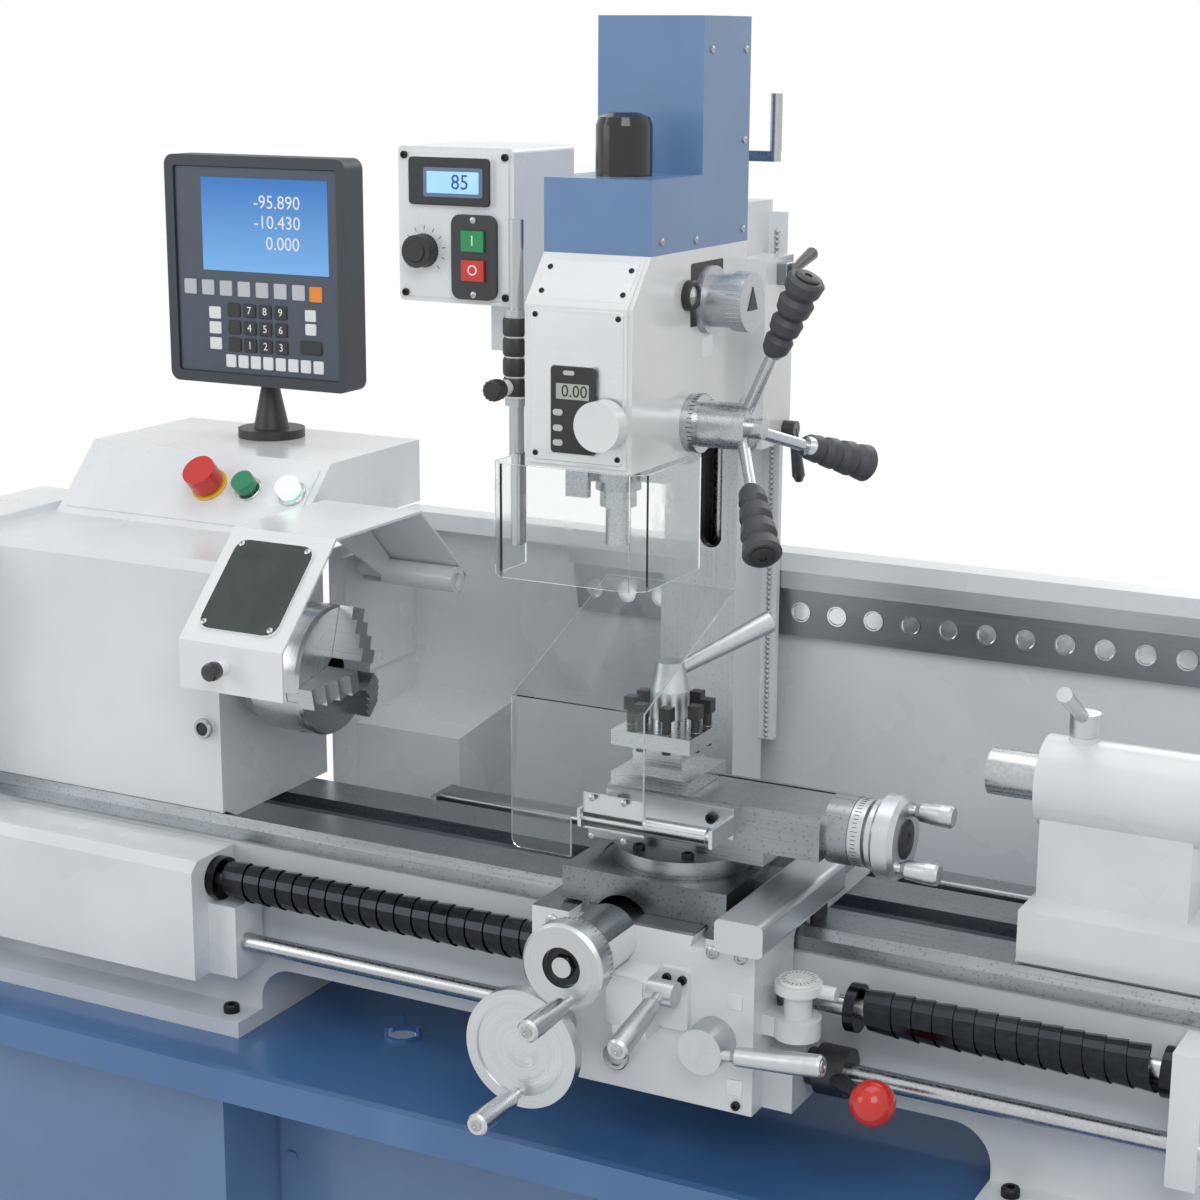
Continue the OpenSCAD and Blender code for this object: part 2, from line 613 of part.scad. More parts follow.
// Mill head casting
mh_x0 = head_x - head_w / 2;
mh_x1 = head_x + head_w / 2;
mh_y0 = -97;
mh_z0 = 298;
mh_bend_z = 474;
mh_bend_y = -54;
mh_top = 526;
mh_low_y = 111;
mh_back_y = 194;
mh_back_z = 350;
sled_w = 70;
sled_z1 = 505;
face_in = 5;
face_t = 3;
quill_y = 0;
hub_y = 52;
hub_z = 334;
hub_bore_r = 12;
selector_y = 88;
selector_z = 468;
selector_bore_r = 10;
fine_x = 424;
fine_z = 352;
fine_bore_r = 7;
clamp_y = 240;
clamp_z = 488;
lock_lever_z = 300;
lock_lever_y = 258;
wing_y1 = 274;
wing_w = 40;
wing_x1 = col_x1 + wing_w;
wing_z0 = 284;
lock_bore_r = 5;
guard_post_x = 291;
guard_post_y = -62;
guard_post_r = 8.5;
post_clamp_r = 13;
post_clamp_z0 = 365;
post_clamp_z1 = 455;
display_x0 = 352;
display_x1 = 408;
display_z0 = 316;
display_z1 = 412;
display_t = 4;
nut_z0 = 340;
nut_h = 40;
module mill_head() color("white") place() {
    difference() {
        union() {
            along_x(mh_x0, mh_x1) polygon([[mh_y0, mh_z0], [mh_y0, mh_bend_z], [mh_bend_y, mh_top], [mh_back_y, mh_top],
                [mh_back_y, mh_back_z], [mh_low_y, mh_z0]]);
            block([head_x - sled_w / 2, mh_back_y - over, mh_back_z + slide_gap], [head_x + sled_w / 2, col_y0 - slide_gap, sled_z1]);
            block([col_x1 + slide_gap, mh_back_y - over, wing_z0], [wing_x1, wing_y1, sled_z1]);
            // front cover plate, bent over the slope, and the depth display on it
            along_x(mh_x0 + face_in, mh_x1 - face_in) polygon([[mh_y0 - face_t, mh_z0 + face_in], [mh_y0 - face_t, mh_bend_z],
                [mh_bend_y - face_t, mh_top - face_in + face_t], [mh_bend_y, mh_top - face_in], [mh_y0, mh_bend_z], [mh_y0, mh_z0 + face_in]]);
            block([display_x0, mh_y0 - face_t - display_t, display_z0], [display_x1, mh_y0 - face_t, display_z1]);
            // nut that reaches through the column slot to the screw
            block([slot_x - slot_r + over, mh_back_y, nut_z0 + 2 * face_in], [slot_x + slot_r - over, screw_y, nut_z0 + nut_h]);
            bar_z(nut_z0 + 2 * face_in, nut_z0 + nut_h, screw_x, screw_y, 1.5 * screw_r);
            // ribbed clamp of the guard post
            bar_z(post_clamp_z0, post_clamp_z1, guard_post_x, guard_post_y, post_clamp_r);
            block([guard_post_x, guard_post_y - post_clamp_r / 2, post_clamp_z0 + face_in], [mh_x0, guard_post_y + post_clamp_r / 2, post_clamp_z1 - face_in]);
            bar_y(guard_post_y - 3 * post_clamp_r, guard_post_y, guard_post_x - face_in, post_clamp_z0 + post_clamp_r, knob_r);
        }
        bar_z(nut_z0, nut_z0 + 2 * nut_h, screw_x, screw_y, screw_r + slide_gap);
        bar_z(mh_z0 - over, mh_z0 + 6 * quill_r, head_x, quill_y, quill_r + fit_gap);
        bar_x(mh_x1 - 2 * hub_bore_r, mh_x1 + over, hub_y, hub_z, hub_bore_r);
        bar_x(mh_x1 - 2 * selector_bore_r, mh_x1 + over, selector_y, selector_z, selector_bore_r);
        bar_y(mh_y0 - 2 * display_t, mh_y0 + 3 * fine_bore_r, fine_x, fine_z, fine_bore_r);
        bar_x(wing_x1 - 4 * lock_bore_r, wing_x1 + over, clamp_y, clamp_z, lock_bore_r);
        bar_x(wing_x1 - 4 * lock_bore_r, wing_x1 + over, lock_lever_y, lock_lever_z, lock_bore_r);
        bar_z(post_clamp_z0 - over, post_clamp_z1 + over, guard_post_x, guard_post_y, guard_post_r + fit_gap);
    }
}
mc_top = 606;
mc_tall_y0 = 70;
mc_tall_top = 776;
mc_wall = 3;
cap_r = 31;
cap_h = 68;
cap_y = 2;
cap_x = 389;
module cover_profile(in, low) polygon([[mh_bend_y + in, low], [mh_bend_y + in, mc_top - in], [mc_tall_y0 + in, mc_top - in],
    [mc_tall_y0 + in, mc_tall_top - in], [mh_back_y - in, mc_tall_top - in], [mh_back_y - in, low]]);
module motor_cover() color("#5f80a9") place() {
    difference() {
        along_x(mh_x0, mh_x1) cover_profile(0, mh_top);
        along_x(mh_x0 + mc_wall, mh_x1 - mc_wall) cover_profile(mc_wall, mh_top - over);
    }
    // glossy cap over the draw bar
    translate([cap_x, cap_y, mc_top]) rotate_extrude() polygon([[0, 0], [cap_r, 0], [cap_r, cap_h * cap_side_share],
        [cap_r * cap_top_share, cap_h * cap_shoulder_share], [cap_r / 2, cap_h], [0, cap_h]]);
}
cap_side_share = 0.8;
cap_top_share = 0.9;
cap_shoulder_share = 0.93;
motor_r = 52;
motor_room = 60;
motor_h = mc_tall_top - mh_top - motor_room;
motor_y = 132;
module mill_motor() color("dimgray") place() {
    bar_z(mh_top, mh_top + motor_h, head_x, motor_y, motor_r);
    bar_z(mh_top + motor_h, mh_top + motor_h + 2 * motor_r / 3, head_x, motor_y, motor_r / 2);
}

// Quill with its depth clamp, and the spindle in it
quill_z0 = 262;
quill_z1 = 420;
ring_r = 31;
ring_h = 15;
ring_z0 = 281;
ear_x = 58;
depth_x0 = -45;
depth_x1 = -17;
depth_y = -40;
depth_z0 = 256;
spin_r = 13.5;
spin_z0 = 199;
nose2_r = 20;
nose2_z0 = 243;
module quill() color("#a3a8ab") place() translate([head_x, quill_y, 0]) difference() {
    union() {
        bar_z(quill_z0, quill_z1, 0, 0, quill_r);
        bar_z(ring_z0 - ring_h / 2, mh_z0 - over, 0, 0, ring_r);
        block([0, -ring_h / 2, ring_z0 - ring_h / 2], [ear_x, ring_h / 2, mh_z0 - over]);
        block([depth_x0, depth_y, depth_z0], [depth_x1, depth_y + ring_h / 2, mh_z0 - over]);
        along_z(ring_z0 - ring_h / 2, mh_z0 - 2 * over) polygon([[depth_x0, depth_y + ring_h / 2], [depth_x1, depth_y + ring_h / 2],
            [0, -ring_h / 2], [-ring_r + over, 0]]);
    }
    bar_z(quill_z0 - over, quill_z1 + over, 0, 0, spin_r + fit_gap);
}
module mill_spindle() color("silver") place() translate([head_x, quill_y, 0]) {
    bar_z(spin_z0, quill_z1, 0, 0, spin_r);
    bar_z(nose2_z0, quill_z0 - slide_gap, 0, 0, nose2_r);
}

// Quill feed hub with three spokes and soft ribbed grips
hub_r = 26;
hub_flange_r = 33;
hub_flange_t = 14;
hub_len = 74;
spoke_r = 7;
spoke_x = 59;
spoke_tilt = 27;
spoke_len = 98;
grip_len = 98;
spoke_angles = [100, -140, -20];
grip_shares = [[0, 0.55], [0.06, 0.72], [0.2, 0.8], [0.26, 0.62], [0.32, 0.84], [0.44, 0.9], [0.5, 0.68],
    [0.57, 0.92], [0.7, 1], [0.76, 0.76], [0.84, 1], [0.96, 1.08], [1, 0.9]];
grip_r = 20;
module grip() rotate_extrude() polygon(concat([[0, 0]], [for (p = grip_shares) [p[1] * grip_r, p[0] * grip_len]], [[0, grip_len]]));
module feed_hub() color("#b4b8bb") place() translate([mh_x1, hub_y, hub_z]) {
    bar_x(-1.5 * hub_bore_r, over, 0, 0, hub_bore_r - fit_gap);
    bar_x(slide_gap, hub_flange_t, 0, 0, hub_flange_r);
    bar_x(hub_flange_t - over, hub_len, 0, 0, hub_r);
    bar_x(hub_len - over, hub_len + hub_flange_t, 0, 0, hub_r - 2 * spoke_r);
    for (a = spoke_angles) translate([spoke_x, 0, 0]) rotate([a - 90, 0, 0]) rotate([0, spoke_tilt, 0]) {
        cylinder(h = spoke_len, r = spoke_r);
        color("#3c3f42") translate([0, 0, spoke_len - over]) grip();
    }
}
fine_r = 27;
fine_h = 22;
module fine_feed_knob() color("silver") place() {
    bar_y(mh_y0 - 2 * display_t - slide_gap - over, mh_y0 + 2 * fine_bore_r, fine_x, fine_z, fine_bore_r - fit_gap);
    bar_y(mh_y0 - 2 * display_t - slide_gap - fine_h, mh_y0 - 2 * display_t - slide_gap, fine_x, fine_z, fine_r);
}
sel_flange_r = 38;
sel_flange_t = 9;
sel_knob_r = 33;
sel_knob_len = 46;
sel_wing_r = 30;
module gear_selector() color("silver") place() translate([mh_x1, selector_y, selector_z]) {
    bar_x(-1.5 * selector_bore_r, over, 0, 0, selector_bore_r - fit_gap);
    bar_x(slide_gap, sel_flange_t, 0, 0, sel_flange_r);
    bar_x(sel_flange_t - over, sel_knob_len - sel_flange_t, 0, 0, sel_wing_r);
    bar_x(sel_knob_len - sel_flange_t - over, sel_knob_len + sel_flange_t, 0, 0, sel_knob_r);
}
lever_len = 62;
lever_r = 5;
lever_end_r = 8;
lever_hub_r = 10;
lever_hub_t = 16;
module small_lever(y, z, turn) place() translate([wing_x1, y, z]) {
    bar_x(-3 * lock_bore_r, over, 0, 0, lock_bore_r - fit_gap);
    bar_x(slide_gap, lever_hub_t, 0, 0, lever_hub_r);
    translate([lever_hub_t - lever_r * 0.8, 0, 0]) rotate([turn, 0, 0]) {
        cylinder(h = lever_len, r1 = lever_r, r2 = lever_end_r);
        translate([0, 0, lever_len - over]) cylinder(h = lever_end_r, r1 = lever_end_r, r2 = lever_r);
    }
}
module upper_clamp() color("#3c3f42") small_lever(clamp_y, clamp_z, upper_clamp_turn);
module lower_clamp() color("#3c3f42") small_lever(lock_lever_y, lock_lever_z, lower_clamp_turn);
upper_clamp_turn = -75;
lower_clamp_turn = -162;

// Clear milling guard on its swinging post
mg_x0 = 294;
mg_x1 = 482;
mg_y0 = -132;
mg_chamfer = 15;
mg_left_y1 = -52;
mg_right_y1 = 12;
mg_z0 = 178;
mg_z1 = 304;
post_z0 = 200;
post_z1 = 560;
collar_t = 8;
post2_y = -40;
post2_r = 6;
module mg_outline(in) polygon([[mg_x0 + in, mg_left_y1 + in], [mg_x0 + in, mg_y0 + mg_chamfer + in / 2],
    [mg_x0 + mg_chamfer + in / 2, mg_y0 + in], [mg_x1 - mg_chamfer - in / 2, mg_y0 + in],
    [mg_x1 - in, mg_y0 + mg_chamfer + in / 2], [mg_x1 - in, mg_right_y1 + in],
    [mg_x0 + in, mg_right_y1 + in]]);
module mill_guard() color("lightcyan") place() {
    difference() {
        along_z(mg_z0, mg_z1) mg_outline(0);
        along_z(mg_z0 - over, mg_z1 + over) mg_outline(clear_t);
        block([mg_x0 - over, mg_left_y1, mg_z0 - over], [mg_x1 - clear_t, mg_right_y1 + over, mg_z1 + over]);
    }
    color("silver") {
        bar_z(post_z0, post_z1, guard_post_x, guard_post_y, guard_post_r);
        bar_z(post_clamp_z1 + slide_gap, post_clamp_z1 + collar_t, guard_post_x, guard_post_y, post_clamp_r);
        bar_z(post_clamp_z0 - collar_t, post_clamp_z0 - slide_gap, guard_post_x, guard_post_y, post_clamp_r);
        block([mg_x0 - clear_t, guard_post_y, post_z0], [mg_x0, mg_left_y1, mg_z1]);
    }
}

// Mill control box on a bracket from the column
box_x0 = 58;
box_x1 = 214;
box_y0 = 68;
box_y1 = 213;
box_z0 = 448;
box_z1 = 628;
plate_in = 6;
plate_t = 2;
screen_x0 = 78;
screen_x1 = 186;
screen_z0 = 562;
screen_z1 = 616;
screen_t = 5;
switch_x0 = 134;
switch_x1 = 194;
switch_z0 = 454;
switch_z1 = 552;
switch_t = 6;
key_w = 30;
key_h = 24;
start_z = 522;
stop_z = 488;
key_x = 164;
key_travel = 3;
pot_x = 94;
pot_z = 508;
pot_r = 19;
pot_h = 20;
pot_bore_r = 4;
arm_x0 = 120;
arm_w = 26;
arm_z0 = 380;
arm_y = 228;
flange_t = 12;
module control_box() color("#dfe2e4") place() {
    difference() {
        union() {
            along_y(box_y0, box_y1) round_rect([box_x0, box_z0], [box_x1, box_z1], plate_in);
            along_y(box_y0 - plate_t, box_y0) round_rect([box_x0 + plate_in, box_z0 + plate_in], [box_x1 - plate_in, box_z1 - plate_in], plate_in);
            along_y(box_y0 - plate_t - screen_t, box_y0 - plate_t) round_rect([screen_x0, screen_z0], [screen_x1, screen_z1], plate_in);
            along_y(box_y0 - plate_t - switch_t, box_y0 - plate_t) round_rect([switch_x0, switch_z0], [switch_x1, switch_z1], 2 * plate_in);
        }
        for (z = [start_z, stop_z]) block([key_x - key_w / 2 - slide_gap, box_y0 - plate_t - 2 * switch_t, z - key_h / 2 - slide_gap],
            [key_x + key_w / 2 + slide_gap, box_y0 + switch_t, z + key_h / 2 + slide_gap]);
        bar_y(box_y0 - 2 * plate_t, box_y0 + pot_r, pot_x, pot_z, pot_bore_r);
    }
    // mounting flange, post and arm to the column's side
    bar_z(box_z0 - flange_t, box_z0, arm_x0 + arm_w / 2, arm_y - arm_w, 2 * arm_w - flange_t);
    block([arm_x0, arm_y - 2 * arm_w, arm_z0], [arm_x0 + arm_w, arm_y, box_z0 - flange_t]);
    block([arm_x0, arm_y, arm_z0], [col_x0 - slide_gap, arm_y + arm_w, arm_z0 + arm_w]);
    block([arm_x0, arm_y - over, arm_z0], [arm_x0 + arm_w, arm_y + arm_w, arm_z0 + arm_w]);
    block([col_x0 - flange_t - slide_gap, arm_y - arm_w / 3, arm_z0 - arm_w], [col_x0 - slide_gap, arm_y + 2 * arm_w, arm_z0 + 2 * arm_w]);
}
module box_key(z) place() block([key_x - key_w / 2, box_y0 - plate_t - switch_t - key_travel, z - key_h / 2],
    [key_x + key_w / 2, box_y0 + over, z + key_h / 2]);
module start_button() color("green") box_key(start_z);
module stop_button() color("red") box_key(stop_z);
module speed_knob() color("#2b2d2f") place() {
    bar_y(box_y0 - plate_t - over, box_y0 + pot_r - over, pot_x, pot_z, pot_bore_r - fit_gap);
    bar_y(box_y0 - plate_t - slide_gap - pot_h, box_y0 - plate_t - slide_gap, pot_x, pot_z, pot_r);
}

// Feed gearbox below the headstock, and the bearing bracket at the far end of the bed
screw_ax_y = -140;
lead_z = -235;
rod_z = -311;
lead_r = 11;
rod_r = 11;
box2_x0 = -440;
box2_x1 = -83;
box2_y0 = -190;
box2_z0 = -352;
box2_z1 = -204;
nose_x1 = -43;
nose_y0 = -160;
nose_z1 = -262;
end_x0 = 1080;
end_x1 = 1110;
end_y0 = -168;
bore_depth = 40;
module feed_gearbox() color("gainsboro") place() difference() {
    union() {
        along_x(box2_x0, box2_x1) polygon([[box2_y0, box2_z0], [box2_y0, box2_z1 - chamfer], [box2_y0 + chamfer, box2_z1],
            [bed_y0, box2_z1], [bed_y0, box2_z0]]);
        block([box2_x1 - over, nose_y0, box2_z0], [nose_x1, bed_y0, nose_z1]);
        block([end_x0, end_y0, rod_z - 3 * rod_r], [end_x1, bed_y0, lead_z + 3 * lead_r]);
    }
    bar_x(box2_x1 - bore_depth, end_x1 + over, screw_ax_y, lead_z, lead_r + fit_gap);
    bar_x(box2_x1 - bore_depth, end_x1 + over, screw_ax_y, rod_z, rod_r + fit_gap);
}
module leadscrew() color("#8e9396") place() bar_x(box2_x1 - bore_depth + slide_gap, end_x1 + lead_r, screw_ax_y, lead_z, lead_r);
module control_rod() color("silver") place() bar_x(box2_x1 - bore_depth + slide_gap, end_x1 + rod_r, screw_ax_y, rod_z, rod_r);

// Spiral covers of the leadscrew: a spring-steel strip wound so that each turn laps the next
cover_r = 22;
strip_width = 30;
strip_thick = 0.8;
strip_pitch = 24;
strip_lean = 0.075;
turn_rings = 16;
collar_r = 26;
collar_len = 12;
left_cover_x0 = -83;
left_cover_x1 = 394.7;
right_cover_x0 = 736;
right_cover_x1 = 1080;
// corner points of the strip's section at one ring of the winding
function strip_ring(x0, i, pitch) = let (a = 360 * i / turn_rings, x = x0 + pitch * i / turn_rings)
    [for (p = [[-1, -1], [1, -1], [1, 1], [-1, 1]])
        let (r = cover_r + p[0] * strip_lean * strip_width / 2 + p[1] * strip_thick / 2)
            [x + p[0] * strip_width / 2, r * cos(a), r * sin(a)]];
module spiral_cover(x0, turns, pitch) {
    rings = turns * turn_rings;
    last = 4 * rings;
    pts = [for (i = [0:rings]) each strip_ring(x0, i, pitch)];
    sides = [for (i = [0:rings - 1], k = [0:3]) let (a = 4 * i + k, b = 4 * i + (k + 1) % 4)
        each [[a, a + 4, b], [b, a + 4, b + 4]]];
    ends = [[0, 1, 2], [0, 2, 3], [last, last + 2, last + 1], [last, last + 3, last + 2]];
    polyhedron(points = pts, faces = concat(sides, ends));
}
module cover_collar(x0, x1) difference() {
    bar_x(x0, x1, screw_ax_y, lead_z, collar_r);
    bar_x(x0 - over, x1 + over, screw_ax_y, lead_z, lead_r + slide_gap);
}
// the winding fills the room between its two collars with whole turns
function cover_room(x0, x1) = x1 - x0 - 2 * collar_len - strip_width + 2 * over;
function cover_turns(x0, x1) = ceil(cover_room(x0, x1) / strip_pitch);
function cover_pitch(x0, x1) = cover_room(x0, x1) / cover_turns(x0, x1);
// room that neighbouring turns keep where they lap
strip_gap = strip_lean * min(cover_pitch(left_cover_x0, left_cover_x1), cover_pitch(right_cover_x0, right_cover_x1)) - strip_thick;
echo(strip_gap = strip_gap);
module cover_run(x0, x1) {
    cover_collar(x0, x0 + collar_len);
    cover_collar(x1 - collar_len, x1);
    translate([0, screw_ax_y, lead_z])
        spiral_cover(x0 + collar_len + strip_width / 2 - over, cover_turns(x0, x1), cover_pitch(x0, x1));
}
module screw_covers() color("#3a3d40") place() {
    cover_run(left_cover_x0 + slide_gap, left_cover_x1);
    cover_run(right_cover_x0, right_cover_x1 - slide_gap);
}

// Saddle
sad_x0 = 395;
sad_x1 = 658;
sad_y0 = -215;
sad_y1 = 112;
sad_top = -158;
sad_z0 = -188;
ridge_x0 = 452;
ridge_x1 = 590;
ridge_top = -155.3;
groove_w = 12;
groove_h = 12;
wiper_t = 5;
tube_x = 489;
tube_z = -174;
tube_r = 33;
tube_y0 = -290;
cross_bore_r = 9;
module groove(x, side) along_y(sad_y0 - over, sad_y1 + over)
    polygon([[x, sad_top + over + recess], [x + side * groove_w, sad_top + over + recess],
        [x + side * groove_w, sad_top - groove_h], [x - side * groove_w / 2, sad_top - groove_h]]);
module saddle() color("gainsboro") place() {
    difference() {
        union() {
            block([sad_x0, sad_y0, way_z + slide_gap], [sad_x1, sad_y1, sad_top]);
            block([sad_x0, sad_y0, sad_z0], [sad_x1, bed_y0 - recess, sad_top]);
            block([ridge_x0, sad_y0, sad_top - over], [ridge_x1, sad_y1, ridge_top]);
            bar_y(tube_y0, sad_y0 + over, tube_x, tube_z, tube_r);
        }
        along_x(sad_x0 - over, sad_x1 + over) polygon([[bed_y0 - recess - over, way_z - over], [bed_y0 - recess, way_z + slide_gap],
            [bed_y0 + v_front - recess, way_z + v_h + recess / 2], [bed_y0 + v_back, way_z + v_h + recess / 2],
            [bed_y0 + 2 * v_back, way_z - over]]);
        groove(ridge_x0, -1);
        groove(ridge_x1, 1);
        bar_y(tube_y0 - over, tube_y0 + 3 * cross_bore_r, tube_x, tube_z, cross_bore_r);
    }
    // way wipers at both ends of the front way
    color("#2b2d2f") for (x = [sad_x0 - wiper_t, sad_x1])
        block([x, bed_y0 + 2 * v_back, way_z + slide_gap], [x + wiper_t, bed_y0 + 4 * v_back, sad_top - over]);
}

// Apron with its feed selector box, bracket for the control rod and thread dial housing
apr_y1 = -112;
apr_z0 = -347;
apr_z1 = sad_z0;
through_r = 15;
wheel_x = 428;
wheel_z = -286;
wheel_bore_r = 9;
sel_x0 = 512;
sel_x1 = 552;
sel_y0 = -252;
sel_z0 = -268;
sel_z1 = -200;
sel_plate_x1 = 586;
sel_plate_t = 8;
feed_pivot_y = -243;
feed_pivot_z = -215;
feed_bore_r = 6;
nut_x = 614;
nut_z = -268;
nut_bore_r = 9;
foot2_x1 = 692;
foot2_y0 = -188;
foot2_z1 = -285;
dial_x = 692;
dial_y = -178;
dial_top = -197;
dial_house_r = 25;
dial_neck_r = 15;
dial_bore_r = 5;
dial_base_z0 = -262;
dial_base_z1 = -240;
dial_house_h = 14;
glass_r = 13;
glass_x = 503;
glass_z = -308;
module apron() color("gainsboro") place() {
    difference() {
        union() {
            block([sad_x0, sad_y0, apr_z0], [sad_x1, apr_y1, apr_z1]);
            along_x(sel_x0, sel_x1) polygon([[sel_y0, sel_z0], [sel_y0, sel_z1 - recess], [sel_y0 + recess, sel_z1],
                [sad_y0, sel_z1], [sad_y0, sel_z0]]);
            along_y(sad_y0 - sel_plate_t, sad_y0) round_rect([sel_x1 - over, sel_z0 + recess], [sel_plate_x1, sel_z1 + recess], recess);
            bar_y(sad_y0 - sel_plate_t, sad_y0, glass_x, glass_z, glass_r);
            block([sad_x1 - over, foot2_y0, apr_z0], [foot2_x1, apr_y1 - recess, foot2_z1]);
            // housing of the thread dial
            bar_z(dial_base_z0, dial_base_z1, dial_x, dial_y, dial_house_r);
            bar_z(dial_base_z1 - over, dial_top - dial_house_h, dial_x, dial_y, dial_neck_r);
            bar_z(dial_top - dial_house_h - over, dial_top - slide_gap - recess, dial_x, dial_y, dial_house_r);
            block([sad_x1 - over, dial_y - dial_neck_r, dial_base_z0], [dial_x, dial_y + dial_neck_r, dial_base_z1]);
            bar_x(dial_x, dial_x + dial_house_r + dial_neck_r, dial_y + dial_neck_r / 2, dial_top - 2 * dial_house_h / 3 - recess, dial_neck_r / 2);
        }
        bar_y(tube_y0 - over, sad_y0 + 2 * over, tube_x, tube_z, tube_r + slide_gap);
        bar_x(sad_x0 - over, foot2_x1 + dial_house_r, screw_ax_y, lead_z, through_r);
        bar_x(sad_x0 - over, foot2_x1 + over, screw_ax_y, rod_z, through_r);
        bar_y(sad_y0 - over, sad_y0 + 3 * wheel_bore_r, wheel_x, wheel_z, wheel_bore_r);
        bar_y(sad_y0 - over, sad_y0 + 3 * nut_bore_r, nut_x, nut_z, nut_bore_r);
        bar_x(sel_x1 - 3 * feed_bore_r, sel_x1 + over, feed_pivot_y, feed_pivot_z, feed_bore_r);
        bar_z(dial_base_z0 + recess, dial_top + over, dial_x, dial_y, dial_bore_r);
    }
}
dial_r = 21;
dial_t = 4;
module thread_dial() color("white") place() {
    bar_z(dial_base_z0 + recess + slide_gap, dial_top, dial_x, dial_y, dial_bore_r - fit_gap);
    bar_z(dial_top - recess, dial_top - recess + dial_t, dial_x, dial_y, dial_r);
}

// Handwheels: a turned rim with a dished web, a hub, and handles on the rim
rim_t = 18;
rim_w = 14;
web_t = 7;
wheel_hub_r = 22;
handle_len = 85;
stand_off = 67;
module hand_wheel(d, rim, web, hub) rotate_extrude() polygon([[0, 0], [hub, 0], [hub, rim_t - web], [d / 2 - rim, rim_t - 2 * web],
    [d / 2 - rim, 0], [d / 2, web / 2], [d / 2, rim_t], [d / 2 - rim, rim_t + web / 3], [d / 2 - rim, rim_t],
    [hub, rim_t - web / 3], [hub / 2, rim_t], [0, rim_t]]);
module facing_front(x, y, z) translate([x, y, z]) rotate([90, 0, 0]) children();
module carriage_handwheel() color("silver") place() {
    facing_front(wheel_x, sad_y0 - stand_off, wheel_z) {
        hand_wheel(carriage_wheel_d, rim_w, web_t, wheel_hub_r);
        rotate(carriage_handle_turn) translate([carriage_wheel_d / 2 - rim_w, 0, rim_t]) turned_handle(handle_len);
    }
    bar_y(sad_y0 - stand_off - over, sad_y0 - slide_gap, wheel_x, wheel_z, wheel_hub_r);
    bar_y(sad_y0 - over, sad_y0 + 2.5 * wheel_bore_r, wheel_x, wheel_z, wheel_bore_r - fit_gap);
}
carriage_handle_turn = -95;
dial_ring_t = 11;
dial_ring_r = 44;
cup_r = 22;
cup_d = 10;
cross_t = 22;
module cross_handwheel() color("silver") place() {
    facing_front(tube_x, tube_y0 - slide_gap, tube_z) difference() {
        union() {
            cylinder(h = dial_ring_t, r = dial_ring_r);
            translate([0, 0, dial_ring_t - over]) rotate_extrude() polygon([[0, 0], [cross_wheel_d / 2 - web_t / 2, 0],
                [cross_wheel_d / 2, web_t / 2], [cross_wheel_d / 2, cross_t - web_t / 2],
                [cross_wheel_d / 2 - web_t / 2, cross_t], [0, cross_t]]);
            rotate(cross_handle_turn) translate([cross_wheel_d / 2 - handle_end_r, 0, dial_ring_t + cross_t - 2 * over]) turned_handle(handle_len);
        }
        translate([0, 0, dial_ring_t + cross_t - cup_d]) cylinder(h = 2 * cup_d, r = cup_r);
    }
    bar_y(tube_y0 - over, tube_y0 + 2.5 * cross_bore_r, tube_x, tube_z, cross_bore_r - fit_gap);
    bar_y(tube_y0 - dial_ring_t - cross_t + over, tube_y0 - dial_ring_t, tube_x, tube_z, cup_r / 2);
}
cross_handle_turn = -80;
feed_hub_r = 14;
feed_hub_len = 30;
feed_handle_len = 96;
module feed_lever() color("silver") place() translate([sel_x1, feed_pivot_y, feed_pivot_z]) {
    bar_x(-2.5 * feed_bore_r, over, 0, 0, feed_bore_r - fit_gap);
    bar_x(slide_gap, feed_hub_len, 0, 0, feed_hub_r);
    translate([feed_hub_len / 2, -feed_hub_r + over, 0]) rotate([90 + feed_drop, 0, 0]) turned_handle(feed_handle_len);
}
feed_drop = 14;
nut_hub_r = 25;
nut_hub_len = 38;
nut_handle_len = 112;
module nut_lever() color("silver") place() {
    bar_y(sad_y0 - slide_gap - nut_hub_len, sad_y0 - slide_gap, nut_x, nut_z, nut_hub_r);
    bar_y(sad_y0 - over, sad_y0 + 2.5 * nut_bore_r, nut_x, nut_z, nut_bore_r - fit_gap);
    translate([nut_x + nut_hub_r - over, sad_y0 - nut_hub_len / 2 - feed_hub_r, nut_z])
        rotate([0, 90 - nut_lift, 0]) turned_handle(nut_handle_len);
}
nut_lift = 6;
lever2_x0 = 704;
lever2_x1 = 738;
lever2_r = 27;
ball_x = 792;
ball_y = -216;
ball_z = -300;
ball_r = 24;
stalk_r = 7;
module control_lever() color("#2b2d2f") place() {
    difference() {
        union() {
            bar_x(lever2_x0, lever2_x1, screw_ax_y, rod_z, lever2_r);
            bar_x(foot2_x1 + slide_gap, lever2_x0, screw_ax_y, rod_z, lever2_r - stalk_r);
            stalk();
        }
        bar_x(foot2_x1, lever2_x1 + over, screw_ax_y, rod_z, rod_r + fit_gap);
    }
    color("red") translate([ball_x, ball_y, ball_z]) sphere(ball_r);
}
// stalk from the hub's front to the ball
stalk_from = [lever2_x1 - stalk_r, screw_ax_y - lever2_r + stalk_r, rod_z];
stalk_run = [ball_x, ball_y, ball_z] - stalk_from;
module stalk() translate(stalk_from)
    rotate([0, acos(stalk_run[2] / norm(stalk_run)), atan2(stalk_run[1], stalk_run[0])])
        cylinder(h = norm(stalk_run) - ball_r / 2, r1 = stalk_r * 1.3, r2 = stalk_r);

